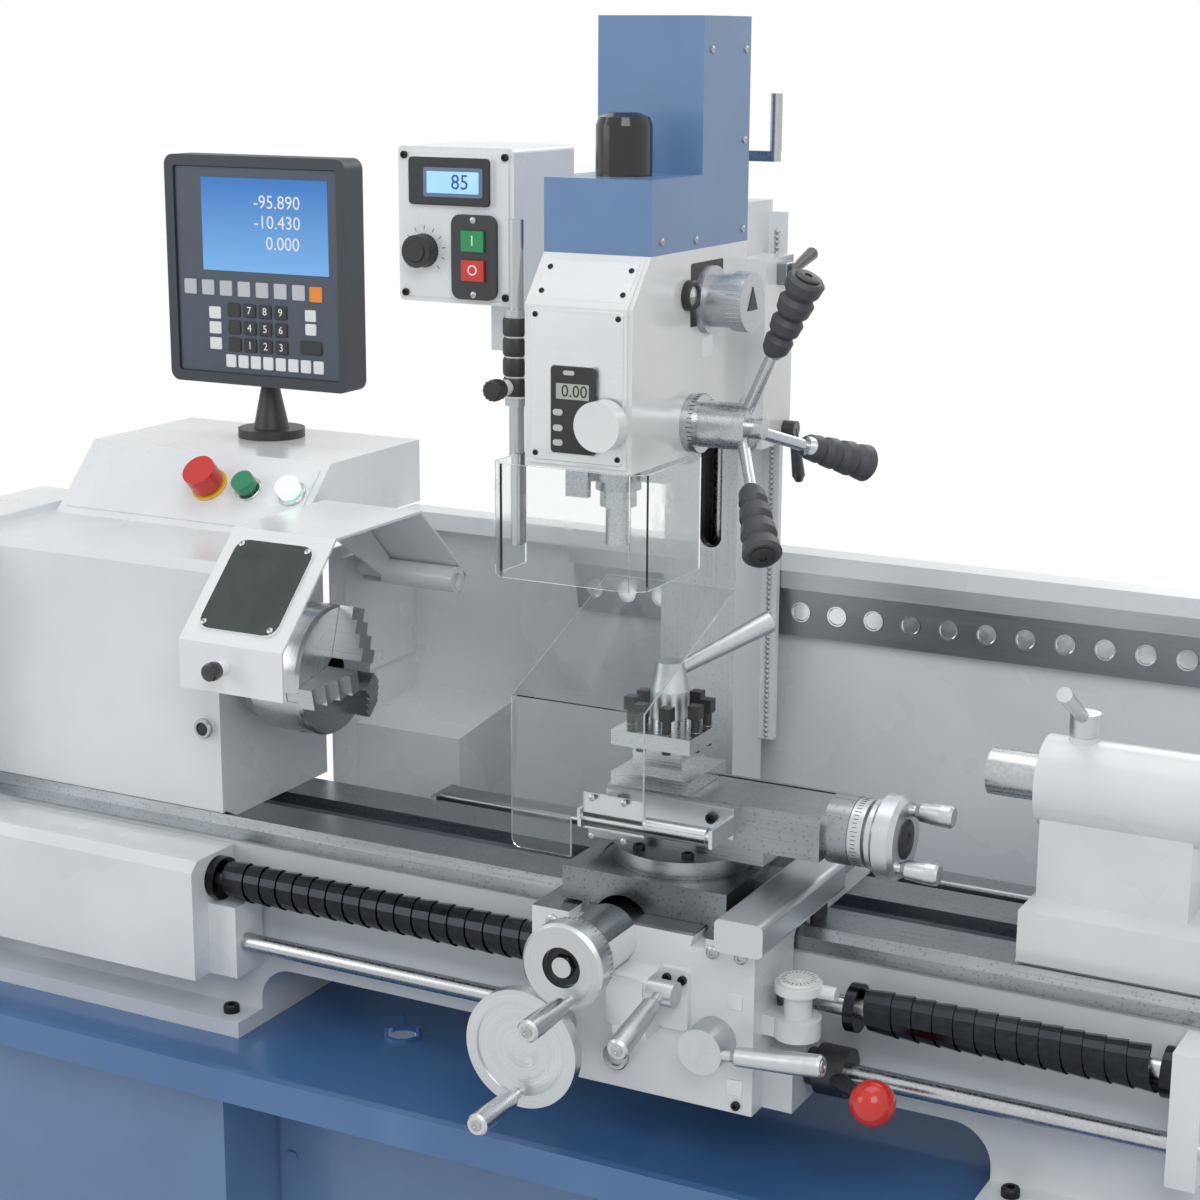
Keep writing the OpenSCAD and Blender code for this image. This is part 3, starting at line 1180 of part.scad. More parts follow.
// Cross slide with its scale cover
cs_x0 = 417;
cs_x1 = 612;
cs_y0 = -187;
cs_y1 = 118;
cs_top = -118;
cs_z0 = -155;
cs_travel = 80;
leg_in = 1.2;
cs_cover_x0 = 628;
cs_cover_x1 = 682;
cs_cover_y0 = -252;
cs_cover_y1 = -28;
cs_cover_h = 36;
cs_cover_r = 7;
module cross_slide() color("#7d8285") place() {
    difference() {
        block([cs_x0, cs_y0, cs_z0], [cs_x1, cs_y1, cs_top]);
        bar_y(cs_y0 - over, sad_y0 + cs_travel + 3 * over, tube_x, tube_z, tube_r + 2 * slide_gap);
        // arc groove of the swivel scale
        translate([swivel_x, post_y, cs_top]) difference() {
            translate([0, 0, -recess / 3]) cylinder(h = recess, r = swivel_r + groove_w);
            translate([0, 0, -recess]) cylinder(h = 2 * recess, r = swivel_r + slide_gap);
            translate([-2 * swivel_r, 0, -recess]) cube([4 * swivel_r, 2 * swivel_r, 2 * recess]);
        }
    }
    // dovetail legs that hook under the saddle's ridge
    for (s = [[ridge_x0, -1], [ridge_x1, 1]]) along_y(cs_y0, cs_y1)
        polygon([[s[0] + s[1] * leg_in, cs_z0 + over], [s[0] + s[1] * (groove_w - leg_in), cs_z0 + over],
            [s[0] + s[1] * (groove_w - leg_in), sad_top - groove_h + leg_in],
            [s[0] - s[1] * (groove_w / 2 - 2 * leg_in), sad_top - groove_h + leg_in],
            [s[0] + s[1] * leg_in, sad_top - leg_in / 2]]);
    color("#c7cbce") along_y(cs_cover_y0, cs_cover_y1)
        round_rect([cs_cover_x0, cs_top - cs_cover_h], [cs_cover_x1, cs_top], cs_cover_r);
    block([cs_x1 - over, cs_y0 + 2 * cs_cover_h, cs_top - cs_cover_h + cs_cover_r],
        [cs_cover_x0 + over, cs_cover_y1 - cs_cover_h, cs_top - cs_cover_r]);
}

// Swivel base and top slide
swivel_x = 521;
post_y = -97;
swivel_r = 78;
swivel_t = 19;
base_x0 = 421;
base_x1 = 630;
base_half = 38;
base_z1 = -82.3;
tail_half = 20;
tail_flare = 7;
tail_h = 17;
ts_x0 = 449;
ts_x1 = 696;
ts_half = 45;
ts_z0 = -82;
ts_top = -33;
collar2_len = 26;
collar2_r = 37;
top_z = -57;
ts_travel = 50;
module swivel_base() color("#8a8f92") place() {
    bar_z(cs_top + slide_gap, cs_top + swivel_t, swivel_x, post_y, swivel_r);
    block([base_x0, post_y - base_half, cs_top + swivel_t - over], [base_x1, post_y + base_half, base_z1]);
    along_x(base_x0, base_x1) polygon([[post_y - tail_half, base_z1 - over], [post_y - tail_half - tail_flare, base_z1 + tail_h],
        [post_y + tail_half + tail_flare, base_z1 + tail_h], [post_y + tail_half, base_z1 - over]]);
}
bracket_x0 = 442;
bracket_x1 = 600;
rod2_y = -192;
rod2_z = -56;
rod2_r = 5;
strap_t = 4;
module top_slide() color("#b0b4b7") place() {
    difference() {
        union() {
            block([ts_x0, post_y - ts_half, ts_z0], [ts_x1, post_y + ts_half, ts_top]);
            bar_x(ts_x1 - over, ts_x1 + collar2_len, post_y, top_z, collar2_r);
        }
        along_x(ts_x0 - over, base_x1 + ts_travel) polygon([[post_y - tail_half - slide_gap, ts_z0 - over],
            [post_y - tail_half - tail_flare - 3 * slide_gap, ts_z0 + tail_h + slide_gap],
            [post_y + tail_half + tail_flare + 3 * slide_gap, ts_z0 + tail_h + slide_gap],
            [post_y + tail_half + slide_gap, ts_z0 - over]]);
        bar_x(ts_x1 + over, ts_x1 + collar2_len + over, post_y, top_z, cross_bore_r);
        block([ts_x0 + post_side, post_y + ts_half - 2 * recess, ts_top - recess], [ts_x1 - 2 * recess, post_y + ts_half - recess, ts_top + over]);
    }
    // stud of the tool post
    bar_z(ts_top - over, lever3_z, post_x, post_y, stud_r);
    // bent strap that carries the chip guard's hinge rod
    color("silver") {
        block([ts_x0, post_y - ts_half - strap_t, ts_z0 + 2 * recess], [bracket_x1, post_y - ts_half, ts_top - recess]);
        for (x = [bracket_x0, bracket_x1 - strap_t])
            block([x, rod2_y - 1.5 * rod2_r, rod2_z - 2 * rod2_r], [x + strap_t, post_y - ts_half, rod2_z + 2 * rod2_r]);
        block([bracket_x0, post_y - ts_half - strap_t, rod2_z - 2 * rod2_r], [ts_x0 + over, post_y - ts_half, rod2_z + 2 * rod2_r]);
        bar_x(bracket_x0, bracket_x1, rod2_y, rod2_z, rod2_r);
    }
}
dial3_len = 15;
dial3_r = 36;
rib3_r = 38;
wheel3_len = 22;
handle3_len = 46;
handle3_r = 32;
handle3_turns = [142, -38];
module top_handwheel() color("silver") place() translate([ts_x1 + collar2_len + slide_gap, post_y, top_z]) rotate([0, 90, 0]) {
    translate([0, 0, -2 * cross_bore_r]) cylinder(h = 2 * cross_bore_r + over, r = cross_bore_r - fit_gap);
    rotate_extrude() polygon([[0, 0], [dial3_r, 0], [dial3_r, dial3_len], [dial3_r - recess, dial3_len + recess / 3],
        [dial3_r - recess, dial3_len + recess], [rib3_r, dial3_len + recess], [rib3_r, dial3_len + 2 * recess],
        [rib3_r - recess, dial3_len + 2 * recess], [rib3_r - recess, dial3_len + 3 * recess],
        [top_wheel_d / 2, dial3_len + 3 * recess], [top_wheel_d / 2, dial3_len + 3 * recess + wheel3_len - recess],
        [top_wheel_d / 2 - recess, dial3_len + 3 * recess + wheel3_len], [0, dial3_len + 3 * recess + wheel3_len]]);
    for (a = handle3_turns) rotate(a) translate([handle3_r, 0, dial3_len + 3 * recess + wheel3_len - over]) turned_handle(handle3_len);
}

// Four-way tool post and its clamp lever
post_x = 500;
post_low_z = -18;
post_high_z = 12;
post_top = 29;
core_half = 29;
bolt_r = 5;
bolt_head = 13;
bolt_head_h = 14;
bolt_up = 16;
bolt_at = 38;
bolt_gap = 15;
hub3_r = 21;
hub3_r2 = 15;
hub3_h = 60;
post_collar_h = 9;
lever3_z = 86;
lever3_turn = 66;
lever3_lift = 14;
lever3_len = 146;
post_half = post_side / 2;
stud_r = 7;
module square_bolt(x, y) translate([x, y, 0]) {
    bar_z(post_high_z - recess, post_top + bolt_up, 0, 0, bolt_r);
    block([-bolt_head / 2, -bolt_head / 2, post_top + bolt_up - over], [bolt_head / 2, bolt_head / 2, post_top + bolt_up + bolt_head_h]);
}
module tool_post() color("#c3c7ca") place() translate([post_x, post_y, 0]) {
    difference() {
        union() {
            block([-post_half, -post_half, ts_top + slide_gap], [post_half, post_half, post_low_z]);
            block([-core_half, -core_half, post_low_z - over], [core_half, core_half, post_high_z + over]);
            block([-post_half, -post_half, post_high_z], [post_half, post_half, post_top]);
            bar_z(post_top - over, post_top + post_collar_h, 0, 0, hub3_r);
        }
        bar_z(ts_top, post_top + 2 * post_collar_h, 0, 0, stud_r + fit_gap);
    }
    color("#2b2d2f") for (s = [-1, 1], t = [-1, 1]) {
        square_bolt(s * bolt_at, t * bolt_gap);
        square_bolt(t * bolt_gap, s * bolt_at);
    }
}
module clamp_lever() color("silver") place() translate([post_x, post_y, 0]) difference() {
    union() {
        translate([0, 0, post_top + post_collar_h + slide_gap]) rotate_extrude() polygon([[0, 0], [hub3_r, 0],
            [hub3_r, hub3_h / 2], [hub3_r2, hub3_h], [0, hub3_h]]);
        translate([0, 0, lever3_z]) rotate([0, 90 - lever3_lift, lever3_turn]) {
            cylinder(h = lever3_len / 2, r1 = bolt_r + recess / 2, r2 = bolt_r + recess);
            translate([0, 0, lever3_len / 2 - over]) cylinder(h = lever3_len / 2, r1 = bolt_r + recess, r2 = 2 * bolt_r + recess / 2);
        }
    }
    bar_z(post_top, lever3_z + slide_gap, 0, 0, stud_r + fit_gap);
}

// Clear chip guard that swings on the strap's rod
cg_x0 = 364;
cg_x1 = 522;
cg_y0 = -205;
cg_z0 = -100;
cg_bend_z = 70;
cg_top_y = 21;
cg_top_z = 158;
cg_cut_x = 436;
cg_cut_z = -55;
cg_r = 10;
leaf_x0 = 450;
leaf_x1 = 592;
leaf_r = 10;
module chip_guard() color("lightcyan") place() {
    difference() {
        union() {
            along_y(cg_y0, cg_y0 + clear_t) difference() {
                round_rect([cg_x0, cg_z0], [cg_x1, cg_bend_z + cg_r], cg_r);
                translate([cg_x0 - over, cg_bend_z]) square([cg_x1 - cg_x0 + 2 * over, 2 * cg_r]);
                translate([cg_cut_x, cg_z0 - over]) square([cg_x1, cg_cut_z - cg_z0]);
            }
            along_x(cg_x0, cg_x1) polygon([[cg_y0, cg_bend_z - over], [cg_y0, cg_bend_z], [cg_top_y - clear_t / 2, cg_top_z],
                [cg_top_y, cg_top_z - clear_t], [cg_y0 + clear_t, cg_bend_z - over]]);
            color("silver") bar_x(leaf_x0, leaf_x1, rod2_y, rod2_z, leaf_r);
            block([leaf_x0, cg_y0 + clear_t, rod2_z - leaf_r], [cg_x1, cg_y0 + clear_t + sheet_t, rod2_z + 3 * leaf_r]);
        }
        bar_x(leaf_x0 - over, leaf_x1 + over, rod2_y, rod2_z, rod2_r + fit_gap);
    }
}

// Tailstock
tail_x0 = 892;
tail_x1 = 1090;
tail_y0 = -78;
tail_y1 = 96;
tail_base_z = -120;
tail_r = 48;
tail_neck = 34;
barrel_r = 25;
barrel_x0 = 833;
barrel_socket_r = 9;
barrel_socket_d = 65;
tail_wheel_r = 62;
tail_wheel_x = 1098;
tail_lever_x = 930;
tail_lever_len = 96;
tail_lever_r = 8;
module tailstock() color("gainsboro") place() difference() {
    union() {
        block([tail_x0, tail_y0, way_z + slide_gap], [tail_x1, tail_y1, tail_base_z]);
        block([tail_x0 + recess, -tail_neck, tail_base_z - over], [tail_x1 - tail_neck, tail_neck, 0]);
        bar_x(tail_x0, tail_x1, 0, 0, tail_r);
        bar_z(0, tail_r + recess, tail_lever_x, 0, 2 * tail_lever_r);
    }
    bar_x(tail_x0 - over, tail_x1 + over, 0, 0, barrel_r + fit_gap);
    along_x(tail_x0 - over, tail_x1 + over) polygon([[bed_y0 - over, way_z - over], [bed_y0 - over, way_z + slide_gap],
        [bed_y0 + v_front, way_z + v_h + recess / 2], [bed_y0 + v_back, way_z + v_h + recess / 2],
        [bed_y0 + 2 * v_back, way_z - over]]);
    bar_z(barrel_r + recess, tail_r + 2 * recess, tail_lever_x, 0, tail_lever_r - over);
}
module tailstock_barrel() color("silver") place() difference() {
    bar_x(barrel_x0, tail_x1 - recess, 0, 0, barrel_r);
    bar_x(barrel_x0 - over, barrel_x0 + barrel_socket_d, 0, 0, barrel_socket_r);
    bar_x(tail_x1 - 2 * tail_neck, tail_x1, 0, 0, wheel_bore_r);
}
module tailstock_wheel() color("silver") place() {
    translate([tail_wheel_x, 0, 0]) rotate([0, 90, 0]) {
        hand_wheel(2 * tail_wheel_r, rim_w, web_t, wheel_hub_r);
        translate([tail_wheel_r - rim_w, 0, rim_t]) turned_handle(handle_len);
    }
    bar_x(tail_x1 + slide_gap, tail_wheel_x + over, 0, 0, wheel_hub_r);
    bar_x(tail_x1 - 2 * tail_neck + recess, tail_x1 + over, 0, 0, wheel_bore_r - fit_gap);
}
module tailstock_lever() color("silver") place() translate([tail_lever_x, 0, 0]) {
    bar_z(barrel_r + recess + slide_gap, tail_r + recess + slide_gap, 0, 0, tail_lever_r - over - fit_gap);
    bar_z(tail_r + recess + slide_gap, tail_r + recess + 3 * tail_lever_r, 0, 0, 2 * tail_lever_r);
    translate([0, 0, tail_r + recess + 2 * tail_lever_r]) rotate([tail_lever_turn, 0, 0]) cylinder(h = tail_lever_len, r1 = tail_lever_r * 0.8, r2 = tail_lever_r);
}
tail_lever_turn = 60;

stand();
chip_tray();
bed();
headstock();
gear_cover();
electrical_cabinet();
splash_guard();
led_lamp();
column();
feed_gearbox();
control_box();
dro_stand();
access_door();
dro_display();
start_button();
stop_button();
speed_knob();
emergency_stop();
green_button();
lamp_button();
mill_head();
motor_cover();
mill_motor();
quill();
mill_spindle();
feed_hub();
fine_feed_knob();
gear_selector();
upper_clamp();
lower_clamp();
mill_guard();
column_crank();
chuck();
spindle();
jaw_1();
jaw_2();
jaw_3();
chuck_guard();
saddle();
apron();
cross_slide();
swivel_base();
top_slide();
tool_post();
clamp_lever();
chip_guard();
carriage_handwheel();
cross_handwheel();
top_handwheel();
feed_lever();
nut_lever();
thread_dial();
leadscrew();
control_rod();
control_lever();
screw_covers();
tailstock();
tailstock_barrel();
tailstock_wheel();
tailstock_lever();
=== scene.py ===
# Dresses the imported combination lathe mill: its paints, metals and plastics, and the small
# pieces that sit on them. Sizes in the sections are millimetres from the lathe's spindle nose,
# as in the drawing, and spot() turns them into the frame's metres.
import math

import bmesh
import bpy
from mathutils import Matrix, Vector


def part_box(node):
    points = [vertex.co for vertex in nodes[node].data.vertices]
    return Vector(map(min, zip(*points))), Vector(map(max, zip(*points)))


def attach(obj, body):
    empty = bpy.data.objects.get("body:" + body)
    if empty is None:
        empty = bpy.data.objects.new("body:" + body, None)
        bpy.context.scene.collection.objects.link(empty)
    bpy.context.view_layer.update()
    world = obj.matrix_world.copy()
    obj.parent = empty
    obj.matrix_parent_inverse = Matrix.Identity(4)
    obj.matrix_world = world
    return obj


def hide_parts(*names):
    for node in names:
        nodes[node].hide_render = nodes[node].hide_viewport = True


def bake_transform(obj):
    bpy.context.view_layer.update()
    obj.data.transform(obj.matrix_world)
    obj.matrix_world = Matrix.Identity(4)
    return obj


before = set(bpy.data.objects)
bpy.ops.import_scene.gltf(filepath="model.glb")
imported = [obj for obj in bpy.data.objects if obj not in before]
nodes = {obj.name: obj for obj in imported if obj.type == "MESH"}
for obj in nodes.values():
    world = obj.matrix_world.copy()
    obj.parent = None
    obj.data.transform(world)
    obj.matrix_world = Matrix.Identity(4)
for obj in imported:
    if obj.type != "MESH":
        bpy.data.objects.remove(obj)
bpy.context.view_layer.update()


def placed(name, data):
    """A new object of a mesh, a lamp, a curve or a camera, in the scene."""
    thing = bpy.data.objects.new(name, data)
    bpy.context.scene.collection.objects.link(thing)
    return thing


# Camera of the photograph: a long lens from the right front, looking a little down
# at the milling head, the chuck and the carriage.
TURN = math.radians(27.579)
DIP = math.radians(13.572)
ROLL = math.radians(0.3)
forward = Vector((-math.sin(TURN) * math.cos(DIP), math.cos(TURN) * math.cos(DIP), -math.sin(DIP)))
level = Vector((math.cos(TURN), math.sin(TURN), 0))
upward = level.cross(forward)
side_way = level * math.cos(ROLL) + upward * math.sin(ROLL)
up_way = upward * math.cos(ROLL) - level * math.sin(ROLL)
lens = bpy.data.cameras.new("photo_camera")
lens.lens = 69.85
lens.sensor_width = 36
lens.clip_end = 60
camera = placed("photo_camera", lens)
turned = Matrix((side_way, up_way, -forward)).transposed().to_4x4()
camera.matrix_world = Matrix.Translation((1.28413, -2.27959, 1.84155)) @ turned
bpy.context.scene.camera = camera
bpy.context.scene.view_settings.view_transform = "Standard"


# Studio: a pale floor under a white surround, which the eye, the gloss and the clear
# plastic see, and soft lamps at a plain level.
def linear(code):
    """A colour written as sRGB hex, as the shader's linear values."""
    parts = [int(code[i : i + 2], 16) / 255 for i in (1, 3, 5)]
    return [c / 12.92 if c <= 0.04045 else ((c + 0.055) / 1.055) ** 2.4 for c in parts] + [1.0]


def plug(tree, node, inputs):
    """Sets a node's inputs, each to a value or to a link."""
    for name, value in inputs.items():
        if isinstance(value, bpy.types.NodeSocket):
            tree.links.new(value, node.inputs[name])
        else:
            node.inputs[name].default_value = value


def add(tree, kind, inputs=None, **settings):
    """Adds one shader node with its settings and its inputs."""
    node = tree.nodes.new("ShaderNode" + kind)
    for name, value in settings.items():
        setattr(node, name, value)
    plug(tree, node, inputs or {})
    return node


def calc(tree, operation, *values, **settings):
    """A sum on numbers."""
    return add(tree, "Math", dict(enumerate(values)), operation=operation, **settings).outputs[0]


def vector_calc(tree, operation, *values):
    """A sum on vectors, which gives a number or a vector."""
    outputs = add(tree, "VectorMath", dict(enumerate(values)), operation=operation).outputs
    return outputs["Value" if operation in ("LENGTH", "DISTANCE", "DOT_PRODUCT") else "Vector"]


def spread(tree, value, low, high, start=0.0, end=1.0):
    """A value between start and end, taken over to between low and high."""
    ends = {"Value": value, "From Min": start, "From Max": end, "To Min": low, "To Max": high}
    return add(tree, "MapRange", ends).outputs[0]


def noise(tree, where, scale, detail=2.0):
    """A cloudy pattern between 0 and 1."""
    return add(tree, "TexNoise", {"Vector": where, "Scale": scale, "Detail": detail}).outputs[0]


def mix_of(tree, share, first, second):
    """A number between two others."""
    return add(tree, "Mix", {0: share, 2: first, 3: second}).outputs[0]


def tone_of(tree, share, dark, light):
    """A colour between two others, each a link or sRGB hex."""
    dark, light = (linear(c) if isinstance(c, str) else c for c in (dark, light))
    return add(tree, "Mix", {0: share, 6: dark, 7: light}, data_type="RGBA").outputs[2]


def bump_of(tree, height, strength, distance=0.0002):
    """The surface's tilt under a pattern of heights."""
    bump = add(tree, "Bump", {"Height": height, "Strength": strength, "Distance": distance})
    return bump.outputs[0]


def looked_at(tree, in_gloss):
    """1 to the eye and through clear plastic, and a share of it in a gloss."""
    ray = add(tree, "LightPath").outputs
    direct = calc(tree, "MAXIMUM", ray["Is Camera Ray"], ray["Is Transmission Ray"])
    return calc(tree, "MAXIMUM", direct, calc(tree, "MULTIPLY", ray["Is Glossy Ray"], in_gloss))


world = bpy.data.worlds.new("studio")
bpy.context.scene.world = world
world.use_nodes = True
world.node_tree.nodes.clear()
level_of = spread(world.node_tree, looked_at(world.node_tree, 0.85), 0.42, 1.0)
back = add(world.node_tree, "Background", {"Color": linear("#ffffff"), "Strength": level_of})
add(world.node_tree, "OutputWorld", {"Surface": back.outputs[0]})

floor_mesh = bpy.data.meshes.new("floor")
floor_mesh.from_pydata([(-9, -9, 0), (9, -9, 0), (9, 9, 0), (-9, 9, 0)], [], [(0, 1, 2, 3)])
floor = placed("floor", floor_mesh)
pale = bpy.data.materials.new("pale studio floor")
pale.use_nodes = True
pale.node_tree.nodes.clear()
matt = add(pale.node_tree, "BsdfDiffuse", {"Color": linear("#f2f3f4")})
white = add(pale.node_tree, "Emission", {"Color": linear("#ffffff"), "Strength": 1.0})
eye = looked_at(pale.node_tree, 0.8)
ground = add(pale.node_tree, "NewGeometry")
away = vector_calc(pale.node_tree, "LENGTH", ground.outputs["Position"])
fade = spread(pale.node_tree, away, 0.6, 1.0, 0.9, 1.9)
share = calc(pale.node_tree, "MULTIPLY", eye, fade)
mixed = add(pale.node_tree, "MixShader", {0: share, 1: matt.outputs[0], 2: white.outputs[0]})
add(pale.node_tree, "OutputMaterial", {"Surface": mixed.outputs[0]})
floor_mesh.materials.append(pale)

LAMPS = [("key", (2.2, -3.2, 3.9), 2.4, 62), ("left_fill", (-3.0, -2.6, 2.6), 2.2, 34),
         ("top", (0.1, 0.2, 4.2), 2.6, 30), ("back_rim", (0.6, 3.0, 3.0), 1.8, 24)]
for name, place, width, power in LAMPS:
    lamp = bpy.data.lights.new(name, "AREA")
    lamp.size = width
    lamp.energy = power
    aim = (Vector((0, 0, 1.1)) - Vector(place)).to_track_quat("-Z", "Y")
    placed(name, lamp).matrix_world = Matrix.Translation(place) @ aim.to_matrix().to_4x4()


# Sheet-metal stand and its door: folded steel, powder coated in mid blue. The coat has a fine
# orange peel and is a little uneven, and the door hangs on two knuckle hinges.
def finish(name, shader=None):
    """Starts a material: its node tree, its shader and the place it reads patterns by."""
    made = bpy.data.materials.new(name)
    made.use_nodes = True
    tree = made.node_tree
    tree.nodes.clear()
    coat = add(tree, "BsdfPrincipled", shader)
    add(tree, "OutputMaterial", {"Surface": coat.outputs[0]})
    return made, tree, coat, add(tree, "TexCoord").outputs["Object"]


def sprayed(tree, where, light, dark, peel=0.007, patch=0.16, rough=0.3, depth=0.25):
    """Sprayed paint: slow changes of shade over a hand's width and a fine orange peel."""
    cloud = noise(tree, where, 1 / patch, 3.0)
    shade = spread(tree, cloud, 0, 1, 0.3, 0.7)
    colour = tone_of(tree, shade, dark, light)
    skin = noise(tree, where, 1 / peel, 1.0)
    dull = spread(tree, cloud, rough - 0.06, rough + 0.08)
    return {"Base Color": colour, "Roughness": dull, "Metallic": 0.0,
            "Normal": bump_of(tree, skin, depth, 0.0004)}


def paint(name, light, dark, coat_gloss=0.3, **how):
    """One sprayed paint as a whole material."""
    made, tree, coat, where = finish(name, {"Coat Weight": coat_gloss, "Coat Roughness": 0.12})
    plug(tree, coat, sprayed(tree, where, light, dark, **how))
    return made


def dress(names, made):
    """Gives the objects of one or more CAD nodes their material."""
    for name in names.split():
        slots = nodes[name].data.materials
        slots.clear()
        slots.append(made)


dress("stand access_door", paint("blue powder coat", "#6889b1", "#5c7da6", rough=0.36))


# Small fasteners: zinc-plated cap screws with a hexagon socket, and black oxide ones. Each set
# is laid out by Geometry Nodes on a list of points and baked to a plain mesh.
def spot(x, y, z):
    """A point of the drawing, in the frame's metres."""
    return Vector(((x - 270) / 1000, y / 1000, (z + 1090) / 1000))


def skinned(form, loops):
    """Closes a form over its loops of corners, from the first loop to the last."""
    for low, high in zip(loops, loops[1:]):
        for i in range(len(low)):
            j = (i + 1) % len(low)
            form.faces.new((low[i], low[j], high[j], high[i]))
    form.faces.new(loops[0][::-1])
    form.faces.new(loops[-1])
    return form


def rings(levels, steps=24):
    """A turned form: rings of (radius, height) from its back to its face, round or, where a
    number of sides and a lobe depth follow, with flat sides (no depth) or with lobes."""
    form = bmesh.new()
    loops = []
    for radius, height, *lobes in levels:
        sides, lobe = lobes or (0, 0)
        loop = []
        for i in range(steps):
            a = 2 * math.pi * i / steps
            r = radius
            if sides and not lobe:
                part = 2 * math.pi / sides
                r = radius * math.cos(part / 2) / math.cos((a % part) - part / 2)
            elif sides:
                r = radius * (1 - lobe * (0.5 - 0.5 * math.cos(sides * a)))
            loop.append(form.verts.new((r * math.cos(a) / 1000, r * math.sin(a) / 1000, height / 1000)))
        loops.append(loop)
    return skinned(form, loops)


def aimed(place, toward):
    """The turn and move that bring a form's +Z to a direction at a place."""
    turn = Vector(toward).to_track_quat("Z", "Y").to_matrix().to_4x4()
    return Matrix.Translation(place) @ turn


def meshed(name, form):
    """A form as a mesh, smooth but for its edges."""
    mesh = bpy.data.meshes.new(name)
    form.to_mesh(mesh)
    form.free()
    mesh.shade_smooth()
    mesh.set_sharp_from_angle(angle=math.radians(30))
    return mesh


def evaluated(thing):
    """An object's mesh after its modifiers, or of its letters."""
    bpy.context.view_layer.update()
    return bpy.data.meshes.new_from_object(thing.evaluated_get(bpy.context.evaluated_depsgraph_get()))


def piece(name, body, form, made, slot_name):
    """Makes a finished object of a form, in its material, riding on its body."""
    bmesh.ops.recalc_face_normals(form, faces=form.faces)
    mesh = meshed(name, form)
    mesh.materials.append(made)
    thing = placed(name, mesh)
    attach(thing, body)


def turned_piece(name, body, form, place, toward, made, slot_name):
    """The same of a turned form, which stands at a place and faces one way."""
    form.transform(aimed(place, toward))
    piece(name, body, form, made, slot_name)


def open_ring(levels, steps=24):
    """A turned form without the faces that close its two ends."""
    form = rings(levels, steps)
    ends = [face for face in form.faces if len(face.verts) > 4]
    bmesh.ops.delete(form, geom=ends, context="FACES_ONLY")
    return form


def laid(name, body, places, toward, form, made, slot_name):
    """Geometry Nodes put one form on every place of a list, and the result becomes a plain mesh."""
    form.transform(aimed((0, 0, 0), toward))
    bmesh.ops.recalc_face_normals(form, faces=form.faces)
    pattern = placed(name + "_shape", meshed(name + "_shape", form))
    mesh = bpy.data.meshes.new(name)
    mesh.from_pydata([tuple(p) for p in places], [], [])
    thing = placed(name, mesh)
    tree = bpy.data.node_groups.new(name, "GeometryNodeTree")
    new, link, socket = tree.nodes.new, tree.links.new, tree.interface.new_socket
    socket("Geometry", in_out="INPUT", socket_type="NodeSocketGeometry")
    size = socket("Size", in_out="INPUT", socket_type="NodeSocketFloat")
    socket("Geometry", in_out="OUTPUT", socket_type="NodeSocketGeometry")
    start = new("NodeGroupInput")
    look = new("GeometryNodeObjectInfo")
    look.inputs["Object"].default_value = pattern
    copies = new("GeometryNodeInstanceOnPoints")
    real = new("GeometryNodeRealizeInstances")
    coat = new("GeometryNodeSetMaterial")
    coat.inputs["Material"].default_value = made
    end = new("NodeGroupOutput")
    link(start.outputs["Geometry"], copies.inputs["Points"])
    link(look.outputs["Geometry"], copies.inputs["Instance"])
    link(start.outputs["Size"], copies.inputs["Scale"])
    link(copies.outputs[0], real.inputs[0])
    link(real.outputs[0], coat.inputs[0])
    link(coat.outputs[0], end.inputs[0])
    modifier = thing.modifiers.new("layout", "NODES")
    modifier.node_group = tree
    modifier[size.identifier] = 1.0
    baked = evaluated(thing)
    thing.modifiers.clear()
    thing.data = baked
    bpy.data.objects.remove(pattern)
    if not baked.materials:
        baked.materials.append(made)
    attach(thing, body)


def socket_head(r, tall, key=0.5):
    """A cap screw's head, its hexagon socket sunk in the face."""
    return rings([(r, 0), (r, tall * 0.8), (r * 0.86, tall), (r * key, tall, 6, 0),
                  (r * key, tall * 0.4, 6, 0)])


def slot_head(r, tall):
    """A low domed screw head."""
    return rings([(r, 0), (r * 0.96, tall * 0.5), (r * 0.6, tall * 0.92),
                  (r * 0.3, tall), (r * 0.28, tall * 0.55, 4, 0)])


def plated(name, light, dark, rough, metallic=1.0):
    """Plated or oxidised steel: a cloudy tone at the scale of a finger tip."""
    made, tree, coat, where = finish(name)
    cloud = noise(tree, where, 90.0, 4.0)
    tone = tone_of(tree, cloud, dark, light)
    dull = spread(tree, cloud, rough - 0.08, rough + 0.1)
    plug(tree, coat, {"Base Color": tone, "Roughness": dull, "Metallic": metallic})
    return made


zinc = plated("zinc-plated steel", "#c3c6c8", "#9da1a4", 0.34)
black_oxide = plated("black oxide steel", "#2c2e31", "#1b1c1f", 0.42, 0.6)
ZINC = zinc, "steel"
OXIDE = black_oxide, "dark_plastic"
quill_grey = plated("grey machined block", "#a4a8ab", "#85898d", 0.4)

laid("panel_screws", "frame",
     [spot(x, -107, z) for x in (500, 850) for z in (-1030, -480)], (0, -1, 0), slot_head(7, 3), *ZINC)
laid("foot_bolts", "frame",
     [spot(x, y, -412) for x in (-75, 915) for y in (-131, 126)], (0, 0, 1), socket_head(10, 10), *OXIDE)
anchor_spots = [spot(x, y, -1080) for x in (-615, 1155) for y in (-170, 170)]
washer = open_ring([(13, 0), (13, 2), (12.4, 2.4), (7.2, 2.4), (7.2, 0)])
laid("anchor_washers", "frame", anchor_spots, (0, 0, 1), washer, *ZINC)


